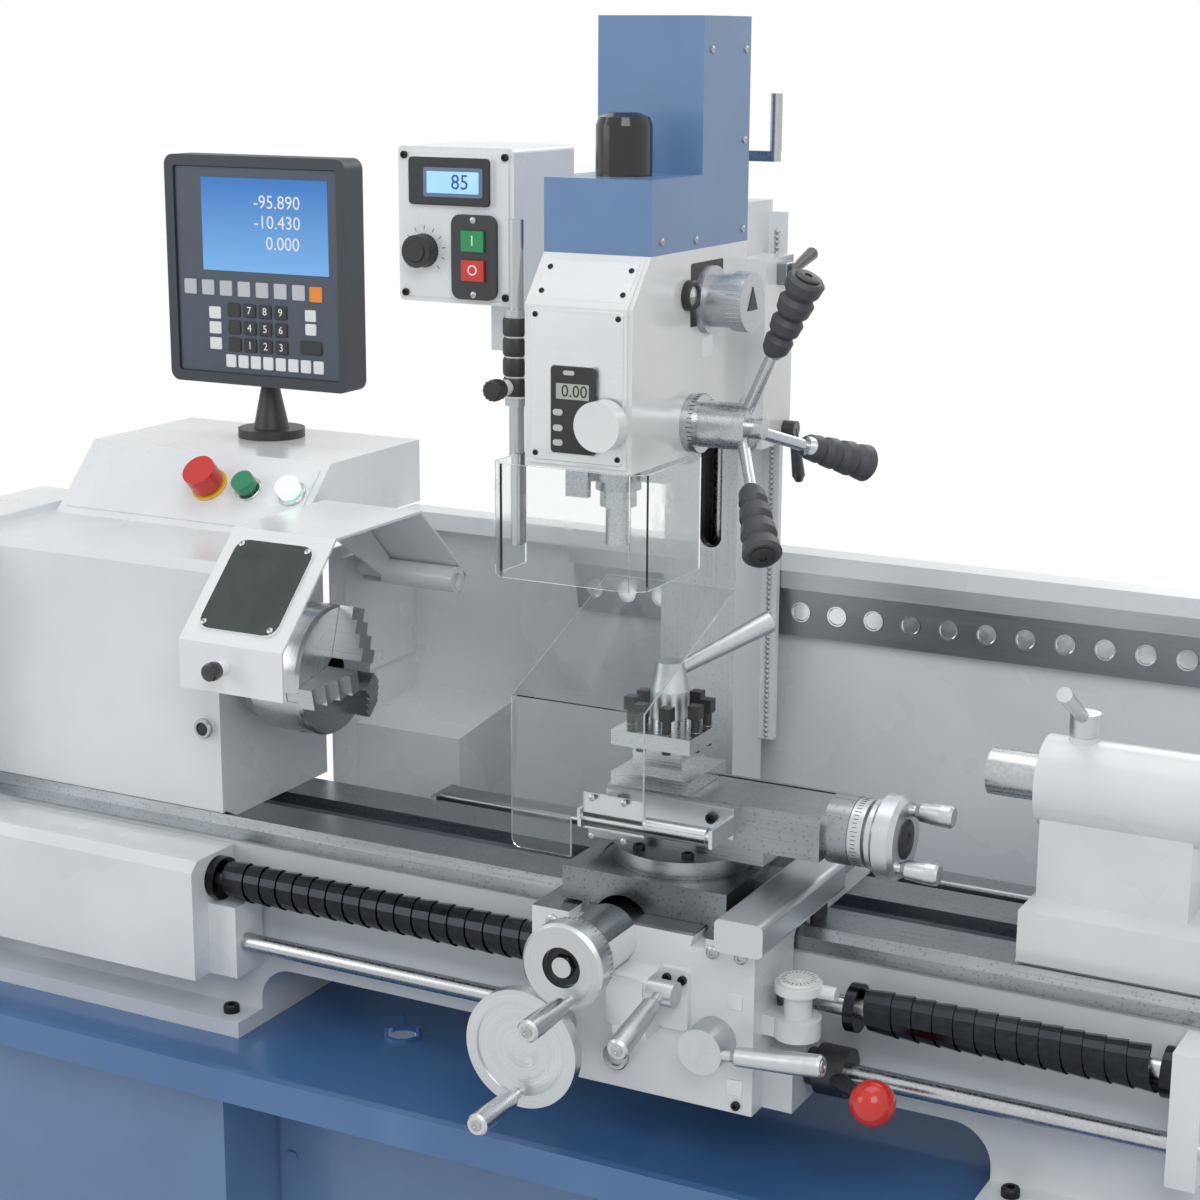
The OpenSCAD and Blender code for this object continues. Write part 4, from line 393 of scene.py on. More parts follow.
# Chip tray: one welded pan in a deeper blue gloss, wet in places with coolant that has dried
# to a thin film round the drain.
tray_paint, tree, coat, where = finish("blue tray enamel", {"Coat Weight": 0.5, "Coat Roughness": 0.08})
look = sprayed(tree, where, "#4674a8", "#3a6799", rough=0.24, patch=0.3)
film = noise(tree, where, 7.0, 6.0)
dried = spread(tree, film, 0, 0.35, 0.52, 0.7)
look["Base Color"] = tone_of(tree, dried, look["Base Color"], "#5c86b4")
plug(tree, coat, look)
dress("chip_tray", tray_paint)


# Bed: a grey iron casting, sprayed in a cool light grey, with its ways and top edges ground
# and left bare. The ground iron has fine lines along its length and a dark speckle.
def ground_metal(tree, where, light, dark, along=(1, 0, 0), line=0.0012, rough=0.3, speckle=0.0):
    """Ground or machined metal: fine lines along one way, and the dark flakes of cast iron."""
    fine = 1 / line
    stretch = [fine * 0.012 if c else fine for c in along]
    combed = add(tree, "Mapping", {"Vector": where, "Scale": stretch})
    lines = noise(tree, combed.outputs[0], 1.0)
    cloud = noise(tree, where, 18.0, 3.0)
    both = mix_of(tree, 0.4, lines, cloud)
    colour = tone_of(tree, both, dark, light)
    if speckle:
        flakes = add(tree, "TexVoronoi", {"Vector": where, "Scale": 170.0})
        spots = spread(tree, flakes.outputs["Distance"], 1.0, 0.0, 0.12, 0.32)
        amount = calc(tree, "MULTIPLY", spots, speckle)
        colour = tone_of(tree, amount, colour, "#3c3f42")
    dull = spread(tree, lines, rough - 0.1, rough + 0.14)
    bump = bump_of(tree, lines, 0.12)
    return {"Base Color": colour, "Roughness": dull, "Metallic": 1.0, "Normal": bump}


def machined(name, light, dark, **how):
    """One ground metal as a whole material."""
    made, tree, coat, where = finish(name)
    plug(tree, coat, ground_metal(tree, where, light, dark, **how))
    return made


def parted(tree, mask, inside, outside):
    """One look where the mask is 1 and another where it is 0."""
    mixed = {}
    for name, kind, first in (("Base Color", "RGBA", 6), ("Normal", "VECTOR", 4), ("Roughness", "FLOAT", 2),
                              ("Metallic", "FLOAT", 2)):
        out = {"RGBA": 2, "VECTOR": 1, "FLOAT": 0}[kind]
        both = {0: mask, first: outside[name], first + 1: inside[name]}
        mixed[name] = add(tree, "Mix", both, data_type=kind).outputs[out]
    return mixed


def beyond(tree, where, axis, limit, above=True):
    """1 where the place lies beyond a limit on one axis, in the drawing's millimetres."""
    shift = {"X": -270, "Y": 0, "Z": 1090}[axis]
    split = add(tree, "SeparateXYZ", {0: where})
    way = "GREATER_THAN" if above else "LESS_THAN"
    return calc(tree, way, split.outputs[axis], (limit + shift) / 1000)


def both_of(tree, first, second):
    """1 where both masks are 1."""
    return calc(tree, "MULTIPLY", first, second)


def not_of(tree, first):
    """1 where the mask is 0."""
    return calc(tree, "SUBTRACT", 1.0, first)


CAST_LIGHT = "#e6eaec"
CAST_DARK = "#dadfe2"
bed_coat, tree, coat, where = finish("painted casting with ground ways")
bare = ground_metal(tree, where, "#b4b9bd", "#7c8286", line=0.0016, speckle=0.35)
cast = sprayed(tree, where, CAST_LIGHT, CAST_DARK, peel=0.02, rough=0.32)
plug(tree, coat, parted(tree, beyond(tree, where, "Z", -198), bare, cast))
dress("bed", bed_coat)

casting = paint("light grey machine enamel", CAST_LIGHT, CAST_DARK, peel=0.018, rough=0.28, depth=0.3)
dress("headstock feed_gearbox apron tailstock", casting)


# Sheet-metal covers: gear cover, switch cabinet and splash guard, folded from 1.5 mm steel,
# spot welded, and sprayed white with a light orange peel.
dress("gear_cover electrical_cabinet splash_guard",
      paint("white sheet enamel", "#eceff1", "#e2e6e9", peel=0.006, rough=0.26))
laid("guard_plate_screws", "frame",
     [spot(-96, y, z) for y, z in ((180, 70), (180, -30), (290, 70))], (1, 0, 0), socket_head(6, 5), *ZINC)


# Chuck guard: a folded white hood with a smoke-tinted polycarbonate window, held by four screws,
# and a black phenolic knob. It turns on a steel pin.
HOOD_SLOPE = math.atan2(184 - 72, 189 - 75)


def on_hood(x, up, out=0.0):
    """A place on the hood's sloping front, measured up from its lower bend."""
    c, s = math.cos(HOOD_SLOPE), math.sin(HOOD_SLOPE)
    return spot(x, -189 + up * c - out * s, 72 + up * s + out * c)


FRONT = (1, 0, 0), (0, 0, 1)
FLANK = (0, 1, 0), (0, 0, 1)


def slab(form, centre, right, up, width, height, thick, corner=2.0, bevel=0.4, steps=4):
    """Adds a plate with round corners and a small bevel to a form. Its face looks along right x
    up, so *FRONT makes one that faces the front, and *FLANK one that faces the right side."""
    right, up = Vector(right).normalized(), Vector(up).normalized()
    out = right.cross(up)
    loops = []
    for inset, rise in ((0, 0), (0, thick - bevel), (bevel, thick)):
        loop = []
        r = max(corner - inset, 0.05)
        for cx, cy, start in ((1, 1, 0), (-1, 1, 90), (-1, -1, 180), (1, -1, 270)):
            for k in range(steps + 1):
                a = math.radians(start + 90 * k / steps)
                u = cx * (width / 2 - inset - r) + r * math.cos(a)
                v = cy * (height / 2 - inset - r) + r * math.sin(a)
                loop.append(form.verts.new(centre + (right * u + up * v + out * rise) / 1000))
        loops.append(loop)
    return skinned(form, loops)


def plate_piece(name, body, made, slot_name, *place, **sizes):
    """One plate, laid as slab() says, as a finished object."""
    piece(name, body, slab(bmesh.new(), *place, **sizes), made, slot_name)


def plates(name, body, made, slot_name, rows):
    """Several plates, each a row of what slab() asks for, as one finished object."""
    form = bmesh.new()
    for row in rows:
        slab(form, *row)
    piece(name, body, form, made, slot_name)


hood_coat, tree, coat, where = finish("white enamel with a tinted window",
                                      {"Coat Weight": 0.4, "Coat Roughness": 0.1})
plug(tree, coat, sprayed(tree, where, "#f0f2f4", "#e6e9ec", peel=0.006, rough=0.24))
dress("chuck_guard", hood_coat)
smoke, tree, coat, where = finish("smoke polycarbonate")
haze = noise(tree, where, 26.0, 5.0)
tint = tone_of(tree, haze, "#27302f", "#46524f")
plug(tree, coat, {"Base Color": tint, "Roughness": 0.12, "Metallic": 0.0})
slope_up = (0, math.cos(HOOD_SLOPE), math.sin(HOOD_SLOPE))
plate_piece("guard_window", "hood", smoke, "dark_plastic",
            on_hood(-16.5, 80, 3), (1, 0, 0), slope_up, 109, 124, 1.2, corner=16, bevel=0.5)
slope_out = (0, -math.sin(HOOD_SLOPE), math.cos(HOOD_SLOPE))
hood_screw_spots = [on_hood(x, up, 4.2) for x in (-63, 30) for up in (25, 135)]
laid("guard_window_screws", "hood", hood_screw_spots, slope_out, slot_head(4, 2.2), *ZINC)
phenolic = paint("black phenolic", "#202225", "#17181a", coat_gloss=0.6, peel=0.03, rough=0.3)
turned_piece("guard_knob", "hood",
             rings([(10.5, 0), (11, 3), (11, 12, 12, 0.12), (9.5, 15), (5, 16)], 48),
             spot(-25, -205, 46), (0, -1, 0), phenolic, "dark_plastic")


# Lamp bar: an anodised aluminium extrusion with a row of bright reflectors, each with a lens.
anodised = machined("anodised aluminium", "#c6cacd", "#a2a7ab", rough=0.34)
dress("led_lamp", anodised)
mirror_cup = plated("bright reflector", "#f4f6f7", "#d4d8da", 0.16)
lens_glass = plated("frosted lens", "#ffffff", "#eef2f4", 0.5, 0.0)
lamp_spots = [spot(188.7 + 48 * i, 322, 60.5) for i in range(19)]
cup = rings([(12.6, 0), (12.6, 1.5), (11, 1.5), (8.4, -4, 12, 0.1), (5.4, -7, 12, 0.1)], 48)
laid("lamp_reflectors", "frame", lamp_spots, (0, -1, 0), cup, mirror_cup, "anodised")
bead = rings([(5.2, -7), (5.2, -3.5), (3.6, -1.2), (1.2, -0.4)], 20)
laid("lamp_lenses", "frame", lamp_spots, (0, -1, 0), bead, lens_glass, "white_plastic")


# Column: a square iron column, ground on its faces, with a slot for the head's nut, a toothed
# rack strip on its right edge, and the crank's screw inside.
column_coat, tree, coat, where = finish("ground cast iron column")
face = ground_metal(tree, where, "#c3c7ca", "#94999d", along=(0, 0, 1), line=0.002, speckle=0.2)
white_side = sprayed(tree, where, "#eceff1", "#e0e4e7", peel=0.02, rough=0.3)
painted = calc(tree, "MAXIMUM", beyond(tree, where, "X", 435.3), beyond(tree, where, "Z", 505))
plug(tree, coat, parted(tree, painted, white_side, face))
dress("column", column_coat)
rack_spots = [spot(446, 290.6, -95 + 6.3 * i) for i in range(100)]
tooth = rings([(3.6, 0, 4, 0), (3.6, 0.4, 4, 0), (1.6, 2.4, 4, 0)], 4)
laid("rack_teeth", "frame", rack_spots, (0, -1, 0), tooth, *ZINC)
turned_steel = machined("bright turned steel", "#cdd0d2", "#a4a8ab", along=(0, 0, 0), line=0.004, rough=0.26)
dress("column_crank", turned_steel)


# Milling head: a smooth casting in white enamel, with a satin front plate, a blue sheet cover
# over the motor and a glossy black cap over the draw bar.
dress("mill_head", paint("white head enamel", "#f0f2f3", "#e6e9ea", peel=0.02, rough=0.2, coat_gloss=0.5))
cover_coat, tree, coat, where = finish("blue cover enamel with a black cap",
                                       {"Coat Weight": 0.3, "Coat Roughness": 0.1})
blue = sprayed(tree, where, "#6e90b9", "#6486b0", peel=0.006, rough=0.32)
cap_black = sprayed(tree, where, "#1c1d20", "#121315", peel=0.03, rough=0.12)
near_cap = both_of(tree, beyond(tree, where, "Z", 606.5), beyond(tree, where, "Y", 50, above=False))
plug(tree, coat, parted(tree, near_cap, cap_black, blue))
dress("motor_cover", cover_coat)
dress("mill_motor", casting)
laid("cover_screws", "head",
     [spot(451.2, y, z) for y, z in ((-30, 540), (55, 536), (180, 540), (180, 640), (180, 740), (90, 740))],
     (1, 0, 0), slot_head(4.2, 2.6), *ZINC)
laid("cover_screws_left", "head",
     [spot(320.8, y, z) for y, z in ((-30, 540), (180, 540), (180, 740), (90, 740))], (-1, 0, 0),
     slot_head(4.2, 2.6), *ZINC)

plate_piece("stop_block", "head", quill_grey, "steel", spot(476, 240, 486), *FLANK, 30, 26, 12,
            corner=2, bevel=1)
laid("stop_block_bolts", "head", [spot(488, y, 486) for y in (233, 247)], (1, 0, 0), socket_head(5, 5),
     *OXIDE)
plate_satin = machined("satin printed plate", "#dfe2e4", "#cdd1d4", line=0.003, rough=0.42)
plate = slab(bmesh.new(), spot(386, -100, 389), *FRONT, 112, 164, 1.0, corner=5)
HEAD_RISE = math.atan2(526 - 474, 97 - 54)
tilt = (0, math.cos(HEAD_RISE), math.sin(HEAD_RISE))
slab(plate, spot(386, -77.5, 499.5), (1, 0, 0), tilt, 112, 52, 1.2, corner=4)
piece("front_plate", "head", plate, plate_satin, "anodised")
laid("front_plate_screws", "head",
     [spot(x, -101, z) for x in (336, 436) for z in (314, 464)], (0, -1, 0), slot_head(3.2, 1.8), *OXIDE)
laid("slope_plate_screws", "head",
     [spot(x, -78.6 + s * 15.5 * tilt[1], 500 + s * 15.5 * tilt[2]) for x in (337, 435) for s in (-1, 1)],
     (0, -tilt[2], tilt[1]), slot_head(3.2, 1.8), *OXIDE)


# Depth display: a black moulded case with a grey liquid-crystal window and four soft keys.
def moulded(name, light, dark, rough=0.45, grit=0.0016):
    """Moulded plastic with a fine spark-eroded grain."""
    made, tree, coat, where = finish(name)
    grain = noise(tree, where, 1 / grit)
    cloud = noise(tree, where, 30.0)
    tone = tone_of(tree, cloud, dark, light)
    bump = bump_of(tree, grain, 0.25)
    dull = spread(tree, cloud, rough - 0.05, rough + 0.07)
    plug(tree, coat, {"Base Color": tone, "Roughness": dull, "Normal": bump})
    return made


def digits(name, body, words, centre, tall, made, slot_name):
    """Plain numbers or signs, which face the front, as a thin raised print."""
    curve = bpy.data.curves.new(name, "FONT")
    curve.body = words
    curve.size = tall / 700
    curve.extrude = 0.00012
    curve.align_x = "CENTER"
    curve.align_y = "CENTER"
    curve.resolution_u = 3
    typed = placed(name + "_curve", curve)
    mesh = evaluated(typed)
    bpy.data.objects.remove(typed)
    right, up = Vector(FRONT[0]), Vector(FRONT[1])
    turn = Matrix((right, up, right.cross(up))).transposed().to_4x4()
    mesh.transform(Matrix.Translation(centre) @ turn)
    mesh.materials.clear()
    mesh.materials.append(made)
    mesh.name = name
    thing = placed(name, mesh)
    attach(thing, body)


black_case = moulded("black moulded plastic", "#2b2d30", "#202225")
grey_key = moulded("grey key plastic", "#c9cdd0", "#b9bec1")
lcd_grey = moulded("grey liquid crystal", "#b9bfb4", "#adb4a9", rough=0.15)
ink_dark = moulded("dark print", "#24282c", "#1b1e22")
ink_white = moulded("white print", "#f4f6f7", "#e9edef")
CASE = black_case, "dark_plastic"
WHITE_PRINT = ink_white, "white_plastic"
plate_piece("depth_display_case", "head", *CASE, spot(384.5, -104, 364), *FRONT, 54, 94, 2.4, corner=4,
            bevel=1)
plate_piece("depth_display_pane", "head", lcd_grey, "light_plastic", spot(384.5, -106.4, 384), *FRONT,
            40, 17, 0.5, corner=1)
digits("depth_display_digits", "head", "0.00", spot(387, -107, 384), 13, ink_dark, "dark_plastic")
rows = [(spot(367, -106.4, z), *FRONT, 12, 7, 1.6, 3.2, 0.6) for z in (361, 344, 328)]
rows.append((spot(380, -106.4, 404), *FRONT, 14, 5, 0.8, 2.4))
plates("depth_display_keys", "head", grey_key, "light_plastic", rows)


# Gear selector: a turned aluminium flange and ribbed knob with a dark pointer, on a satin plate,
# beside an oil sight glass with a black ring.
knob_alu = machined("satin turned aluminium", "#c9cccf", "#a9adb1", along=(0, 0, 0), line=0.005, rough=0.36)
dress("gear_selector", knob_alu)
dress("fine_feed_knob", paint("white knob enamel", "#eef0f1", "#e2e5e7", peel=0.03, rough=0.3))
turned_piece("selector_ribs", "gear_knob",
             rings([(33.4, 0, 40, 0.06), (33.6, 16, 40, 0.06), (31.5, 18.4), (30.6, 18.6)], 160),
             spot(487.5, 88, 468), (1, 0, 0), knob_alu, "aluminium")
arrow = bmesh.new()
tip = [(0, 17), (13, -9), (-13, -9)]
low = [arrow.verts.new(spot(506, 88 + y, 468 + z)) for y, z in tip]
high = [arrow.verts.new(spot(507, 88 + y, 468 + z)) for y, z in tip]
arrow.faces.new(low)
arrow.faces.new(high)
for i in range(3):
    arrow.faces.new((low[i], low[(i + 1) % 3], high[(i + 1) % 3], high[i]))
piece("selector_pointer", "gear_knob", arrow, ink_dark, "dark_plastic")
plate_piece("selector_plate", "head", *CASE, spot(451.1, 86, 476), *FLANK, 84, 70, 0.3, corner=3, bevel=0.1)
plate_piece("selector_low_plate", "head", plate_satin, "anodised", spot(451.1, 88, 416), *FLANK, 30, 24,
            0.3, corner=2, bevel=0.1)
turned_piece("oil_glass_ring", "head", rings([(17, 0), (17, 7), (15.5, 8.5), (12, 8.5), (11, 5.5)], 48),
             spot(451.5, 36, 477), (1, 0, 0), *CASE)
oil_pane, tree, coat, where = finish("oil behind glass", {"Coat Weight": 1.0, "Coat Roughness": 0.03})
level_line = beyond(tree, where, "Z", 476, above=False)
swirl = noise(tree, where, 120.0)
oil = tone_of(tree, swirl, "#8a8f86", "#a8ada2")
air = tone_of(tree, level_line, "#d8dcdc", oil)
plug(tree, coat, {"Base Color": air, "Roughness": 0.2})
turned_piece("oil_glass", "head", rings([(11, 5.4), (11, 5.8), (6, 6.6), (1, 6.8)], 32),
             spot(451.5, 36, 477), (1, 0, 0), oil_pane, "white_plastic")


# Quill feed: a turned steel hub with a graduated ring, and three chromed spokes whose dark
# soft grips have four bulges and a slotted end cap.
HUB = spot(451, 52, 334)
SPOKE_REACH = 0.0865
hub_coat, tree, coat, where = finish("turned steel with rubber grips")
steel_look = ground_metal(tree, where, "#d0d3d5", "#a9adb0", along=(0, 0, 0), line=0.004, rough=0.24)
rubber = sprayed(tree, where, "#4a4d51", "#3f4246", peel=0.0022, rough=0.5, depth=0.5)
centred = add(tree, "Mapping", {"Vector": where, "Location": (0, -HUB.y, -HUB.z), "Scale": (0, 1, 1)})
reach = vector_calc(tree, "LENGTH", centred.outputs[0])
on_grip = calc(tree, "GREATER_THAN", reach, SPOKE_REACH)
plug(tree, coat, parted(tree, on_grip, rubber, steel_look))
dress("feed_hub", hub_coat)
SPOKES_FROM = HUB + Vector((0.059, 0, 0))
GRIP_END = 0.1945
TILT = math.radians(27)
for number, turn in enumerate((100, -140, -20)):
    a = math.radians(turn - 90)
    way = Vector((math.sin(TILT), -math.cos(TILT) * math.sin(a), math.cos(TILT) * math.cos(a)))
    cap = rings([(14, 0), (14, 2.4), (12, 3.4), (4.5, 3.6), (4.5, 2.2)], 32)
    turned_piece("grip_cap_%d" % (number + 1), "feed_spokes", cap, SPOKES_FROM + way * GRIP_END, way, *CASE)


def graduations(name, body, centre, radius, zero, quarter, axis, turns, wide, lengths, thick):
    """Engraved lines round a centre, turned from the side zero toward the side quarter. They lie
    along a drum's axis, or along the radius where the axis is None. Each line that the first of
    the lengths counts off is as long as the second, and those between as the third."""
    form = bmesh.new()
    zero, quarter = Vector(zero), Vector(quarter)
    count, start, step = turns
    for i in range(count):
        a = math.radians(start + step * i)
        out = zero * math.cos(a) + quarter * math.sin(a)
        right = Vector(axis).cross(out) if axis else quarter * math.cos(a) - zero * math.sin(a)
        tall = lengths[2] if i % lengths[0] else lengths[1]
        slab(form, centre + out * radius, right, axis or out, wide, tall, thick, 0.1, 0.05, 1)
    piece(name, body, form, ink_dark, "dark_plastic")


X_WAY, Y_WAY, Z_WAY = (1, 0, 0), (0, 1, 0), (0, 0, 1)
graduations("hub_graduations", "feed_spokes", HUB + Vector((0.012, 0, 0)), 0.0332, Z_WAY, Y_WAY, X_WAY,
            (40, 0, 9), 0.7, (5, 9, 6), 0.25)
dress("upper_clamp lower_clamp", phenolic)


# Quill and milling spindle: hard chromed and ground steel, with the clamp that carries the
# clear milling guard's post, and an acrylic guard bent from one sheet.
dress("quill", machined("ground tool steel", "#c0c4c7", "#8f9498", along=(0, 0, 0), line=0.003, rough=0.24))
dress("mill_spindle", turned_steel)


def clear_sheet(name, steel_part, steel, dull, scuffed, edge):
    """Clear acrylic with light scuffs, a painted highlight that makes the cut edges opaque white, and steel
    where steel_part() is 1.
    """
    made, tree, coat, where = finish(name)
    metal = steel_part(tree, where)
    scuffs = noise(tree, where, 60.0, 8.0)
    haze = spread(tree, scuffs, 0.02, scuffed, 0.45, 0.75)
    clear = tone_of(tree, scuffs, "#f4f8f8", "#fafcfc")
    facing = add(tree, "SeparateXYZ", {0: add(tree, "NewGeometry").outputs["Normal"]})
    # painted highlight: faces across the sheet's edge turn opaque near-white, where the cut edge gathers
    # light
    painted_edge_glow = spread(tree, calc(tree, "ABSOLUTE", facing.outputs[edge]), 0, 0.75, 0.85, 0.95)
    see = calc(tree, "SUBTRACT", not_of(tree, metal), painted_edge_glow, use_clamp=True)
    plug(tree, coat, {"Base Color": tone_of(tree, metal, clear, steel), "Metallic": metal,
                      "Roughness": mix_of(tree, metal, haze, dull), "Transmission Weight": see, "IOR": 1.49})
    return made


def on_post(tree, where):
    """1 on the milling guard's post and clamp."""
    return calc(tree, "MAXIMUM", beyond(tree, where, "X", 293.9, above=False),
                beyond(tree, where, "Z", 304.5))


dress("mill_guard", clear_sheet("clear acrylic guard on a steel post", on_post, "#b9bdc0", 0.25, 0.14, "Z"))
ribs = bmesh.new()
for i in range(4):
    ring = rings([(14.2, 0), (15.4, 3), (15.4, 17), (14.2, 20)], 40)
    ring.transform(Matrix.Translation(spot(291, -62, 368 + 22 * i)))
    extra = bpy.data.meshes.new("extra")
    ring.to_mesh(extra)
    ring.free()
    ribs.from_mesh(extra)
    bpy.data.meshes.remove(extra)
piece("post_clamp_ribs", "head", ribs, *CASE)
turned_piece("post_clamp_knob", "head",
             rings([(11, 0), (12, 3, 14, 0.1), (12, 16, 14, 0.1), (10, 18)], 56), spot(286, -92, 378),
             (0, -1, 0), *CASE)


# Control box of the milling head: white sheet box, blue-lit speed display, a rotary speed knob
# and a black switch block with a green and a red key.
box_coat, tree, coat, where = finish("white sheet enamel with a black switch block",
                                     {"Coat Weight": 0.3, "Coat Roughness": 0.12})
box_white = sprayed(tree, where, "#eceff1", "#e2e6e9", peel=0.006, rough=0.26)
block_black = sprayed(tree, where, "#2b2d30", "#202225", peel=0.002, rough=0.45)
on_block = both_of(tree, beyond(tree, where, "Y", 65.8, above=False),
                   beyond(tree, where, "Z", 556, above=False))
plug(tree, coat, parted(tree, on_block, block_black, box_white))
dress("control_box", box_coat)
plate_piece("speed_display_case", "frame", *CASE, spot(132, 61, 589), *FRONT, 110, 55, 2.2, corner=5, bevel=1)
plate_piece("speed_display_frame", "frame", moulded("blue-grey bezel", "#6f87a0", "#5f7690"),
            "dark_plastic", spot(138, 58.8, 588), *FRONT, 80, 34, 0.8, corner=3)
lit_blue, tree, coat, where = finish("lit blue liquid crystal", {"Emission Strength": 0.35})
pulse = noise(tree, where, 14.0)
tone = tone_of(tree, pulse, "#8fc8f4", "#bfe2fb")
plug(tree, coat, {"Base Color": tone, "Roughness": 0.12, "Emission Color": tone})
plate_piece("speed_display_pane", "frame", lit_blue, "white_plastic", spot(138, 58, 588), *FRONT, 70,
            25, 0.5, corner=1)
digits("speed_display_digits", "frame", "85", spot(148, 57.4, 588), 17,
       moulded("blue print", "#2b5f9c", "#235488"), "dark_plastic")
laid("switch_screws", "frame", [spot(164, 60, z) for z in (546, 460)], (0, -1, 0), slot_head(4, 2), *ZINC)
laid("control_box_screws", "frame",
     [spot(x, 66, z) for x in (68, 204) for z in (458, 618)], (0, -1, 0), socket_head(4.4, 3.5), *OXIDE)
dress("start_button", moulded("green moulded key", "#2f9e63", "#258a55", rough=0.3))
dress("stop_button", moulded("red moulded key", "#d8453c", "#c5372f", rough=0.3))
digits("start_sign", "start_key", "I", spot(164, 56.95, 522), 12, *WHITE_PRINT)
digits("stop_sign", "stop_key", "O", spot(164, 56.95, 488), 12, *WHITE_PRINT)
dress("speed_knob", black_case)
turned_piece("speed_knob_skirt", "speed_dial",
             rings([(20, 0, 30, 0.05), (19, 10, 30, 0.05), (14, 12), (13, 19.5, 30, 0.06), (11.5, 21)],
                   120), spot(94, 65, 508), (0, -1, 0), *CASE)
graduations("speed_scale", "frame", spot(94, 66, 508), 0.0265, Z_WAY, X_WAY, None,
            (11, -135, 27), 0.8, (1, 5, 5), 0.2)


# Position display: a dark moulded case with a blue screen that shows three plain numbers, a
# row of soft keys, a number pad and white function keys, on a black tilting stand.
slate = moulded("dark slate plastic", "#3b4047", "#31363c", rough=0.5)
dress("dro_display", slate)
dress("dro_stand", moulded("black cast stand", "#34373a", "#282a2d", rough=0.42))
plate_piece("keypad_sheet", "display", moulded("slate keypad film", "#4a5563", "#424c59", rough=0.4),
            "dark_plastic", spot(-268, 232, 450), *FRONT, 256, 270, 0.5, corner=4)
screen_blue, tree, coat, where = finish("blue screen", {"Emission Strength": 0.3})
split = add(tree, "SeparateXYZ", {0: where})
fade = spread(tree, split.outputs["Z"], 0, 1, 1.54, 1.665)
tone = tone_of(tree, fade, "#6fa8dd", "#2f6db4")
plug(tree, coat, {"Base Color": tone, "Roughness": 0.1, "Emission Color": tone})
plate_piece("position_screen", "display", screen_blue, "dark_plastic", spot(-254, 231.4, 511), *FRONT,
            200, 122, 0.6, corner=1)
for number, (words, z) in enumerate((("-95.890", 541), ("-10.430", 515), ("0.000", 488))):
    digits("position_digits_%d" % (number + 1), "display", words,
           spot(-233 if number < 2 else -225, 230.6, z),
           17, *WHITE_PRINT)
plates("soft_keys", "display", grey_key, "light_plastic",
       [(spot(-376 + 29 * i, 231.4, 427), *FRONT, 20, 20, 1.4, 2, 0.6) for i in range(7)])
plate_piece("orange_key", "display", moulded("orange key plastic", "#f29a3c", "#e58c2e"), "light_plastic",
            spot(-175, 231.4, 426), *FRONT, 20, 20, 1.4, corner=2, bevel=0.6)
rows = [(spot(-306 + 25 * column, 231.4, 399 - 23 * row), *FRONT, 20, 18, 1.8, 3, 0.8)
        for column in range(4) for row in range(3)]
plates("number_keys", "display", *CASE, rows + [(spot(-184, 231.4, 356), *FRONT, 34, 18, 1.8, 3, 0.8)])
for column, row_words in enumerate(("741", "852", "963")):
    for row, words in enumerate(row_words):
        place = spot(-281 + 25 * column, 229.5, 399 - 23 * row)
        digits("key_digit_%s" % words, "display", words, place, 10, *WHITE_PRINT)
rows = [(spot(-337, 231.4, z), *FRONT, 19, 16, 1.6, 2, 0.6) for z in (394, 374, 353)]
rows += [(spot(-184, 231.4, z), *FRONT, 17, 15, 1.6, 2, 0.6) for z in (398, 380)]
rows += [(spot(-313 + 20 * i, 231.4, 331), *FRONT, 16, 17, 1.6, 2, 0.6) for i in range(8)]
plates("function_keys", "display", moulded("white key plastic", "#eef0f2", "#e0e4e7"), "white_plastic", rows)


# Cabinet's push buttons: a red mushroom stop with a yellow ring, a green button and a lit one.
yellow_ring = moulded("yellow moulded ring", "#f2c23a", "#e6b52e")
alu_ring = plated("bright button bezel", "#d6d9db", "#b3b7ba", 0.25)
LEAN = math.sqrt(0.5)
PANEL_OUT = (0, -LEAN, LEAN)
PANEL_LOW = (62, 140)
PANEL_MIDDLE = 84 * 0.55


def on_panel(x, out):
    """A place over the middle of the sloping button panel."""
    y, z = (low + PANEL_MIDDLE for low in PANEL_LOW)
    return spot(x, y - out * LEAN, z + out * LEAN)


for name, x, outer, made in (("stop_ring", -261, 24.5, yellow_ring), ("green_ring", -200, 18, alu_ring),
                             ("lamp_ring", -132, 18, alu_ring)):
    # open in the middle for the button's stem, and no higher than the cap's lowest place
    ring = open_ring([(outer, 0), (outer, 2.2), (outer - 0.8, 2.9), (11.4, 2.9), (11.4, 0)], 48)
    turned_piece(name, "frame", ring, on_panel(x, 2.2), PANEL_OUT, made, "steel")
dress("emergency_stop", moulded("red moulded mushroom", "#d33a34", "#c02e29", rough=0.28))
dress("green_button", moulded("green moulded button", "#2f8f63", "#267d55", rough=0.3))
lit_cap, tree, coat, where = finish("lit pale green lens", {"Emission Strength": 0.6})
glow = noise(tree, where, 90.0)
tone = tone_of(tree, glow, "#c9f2df", "#f4fffb")
plug(tree, coat, {"Base Color": tone, "Roughness": 0.2, "Emission Color": tone})
dress("lamp_button", lit_cap)


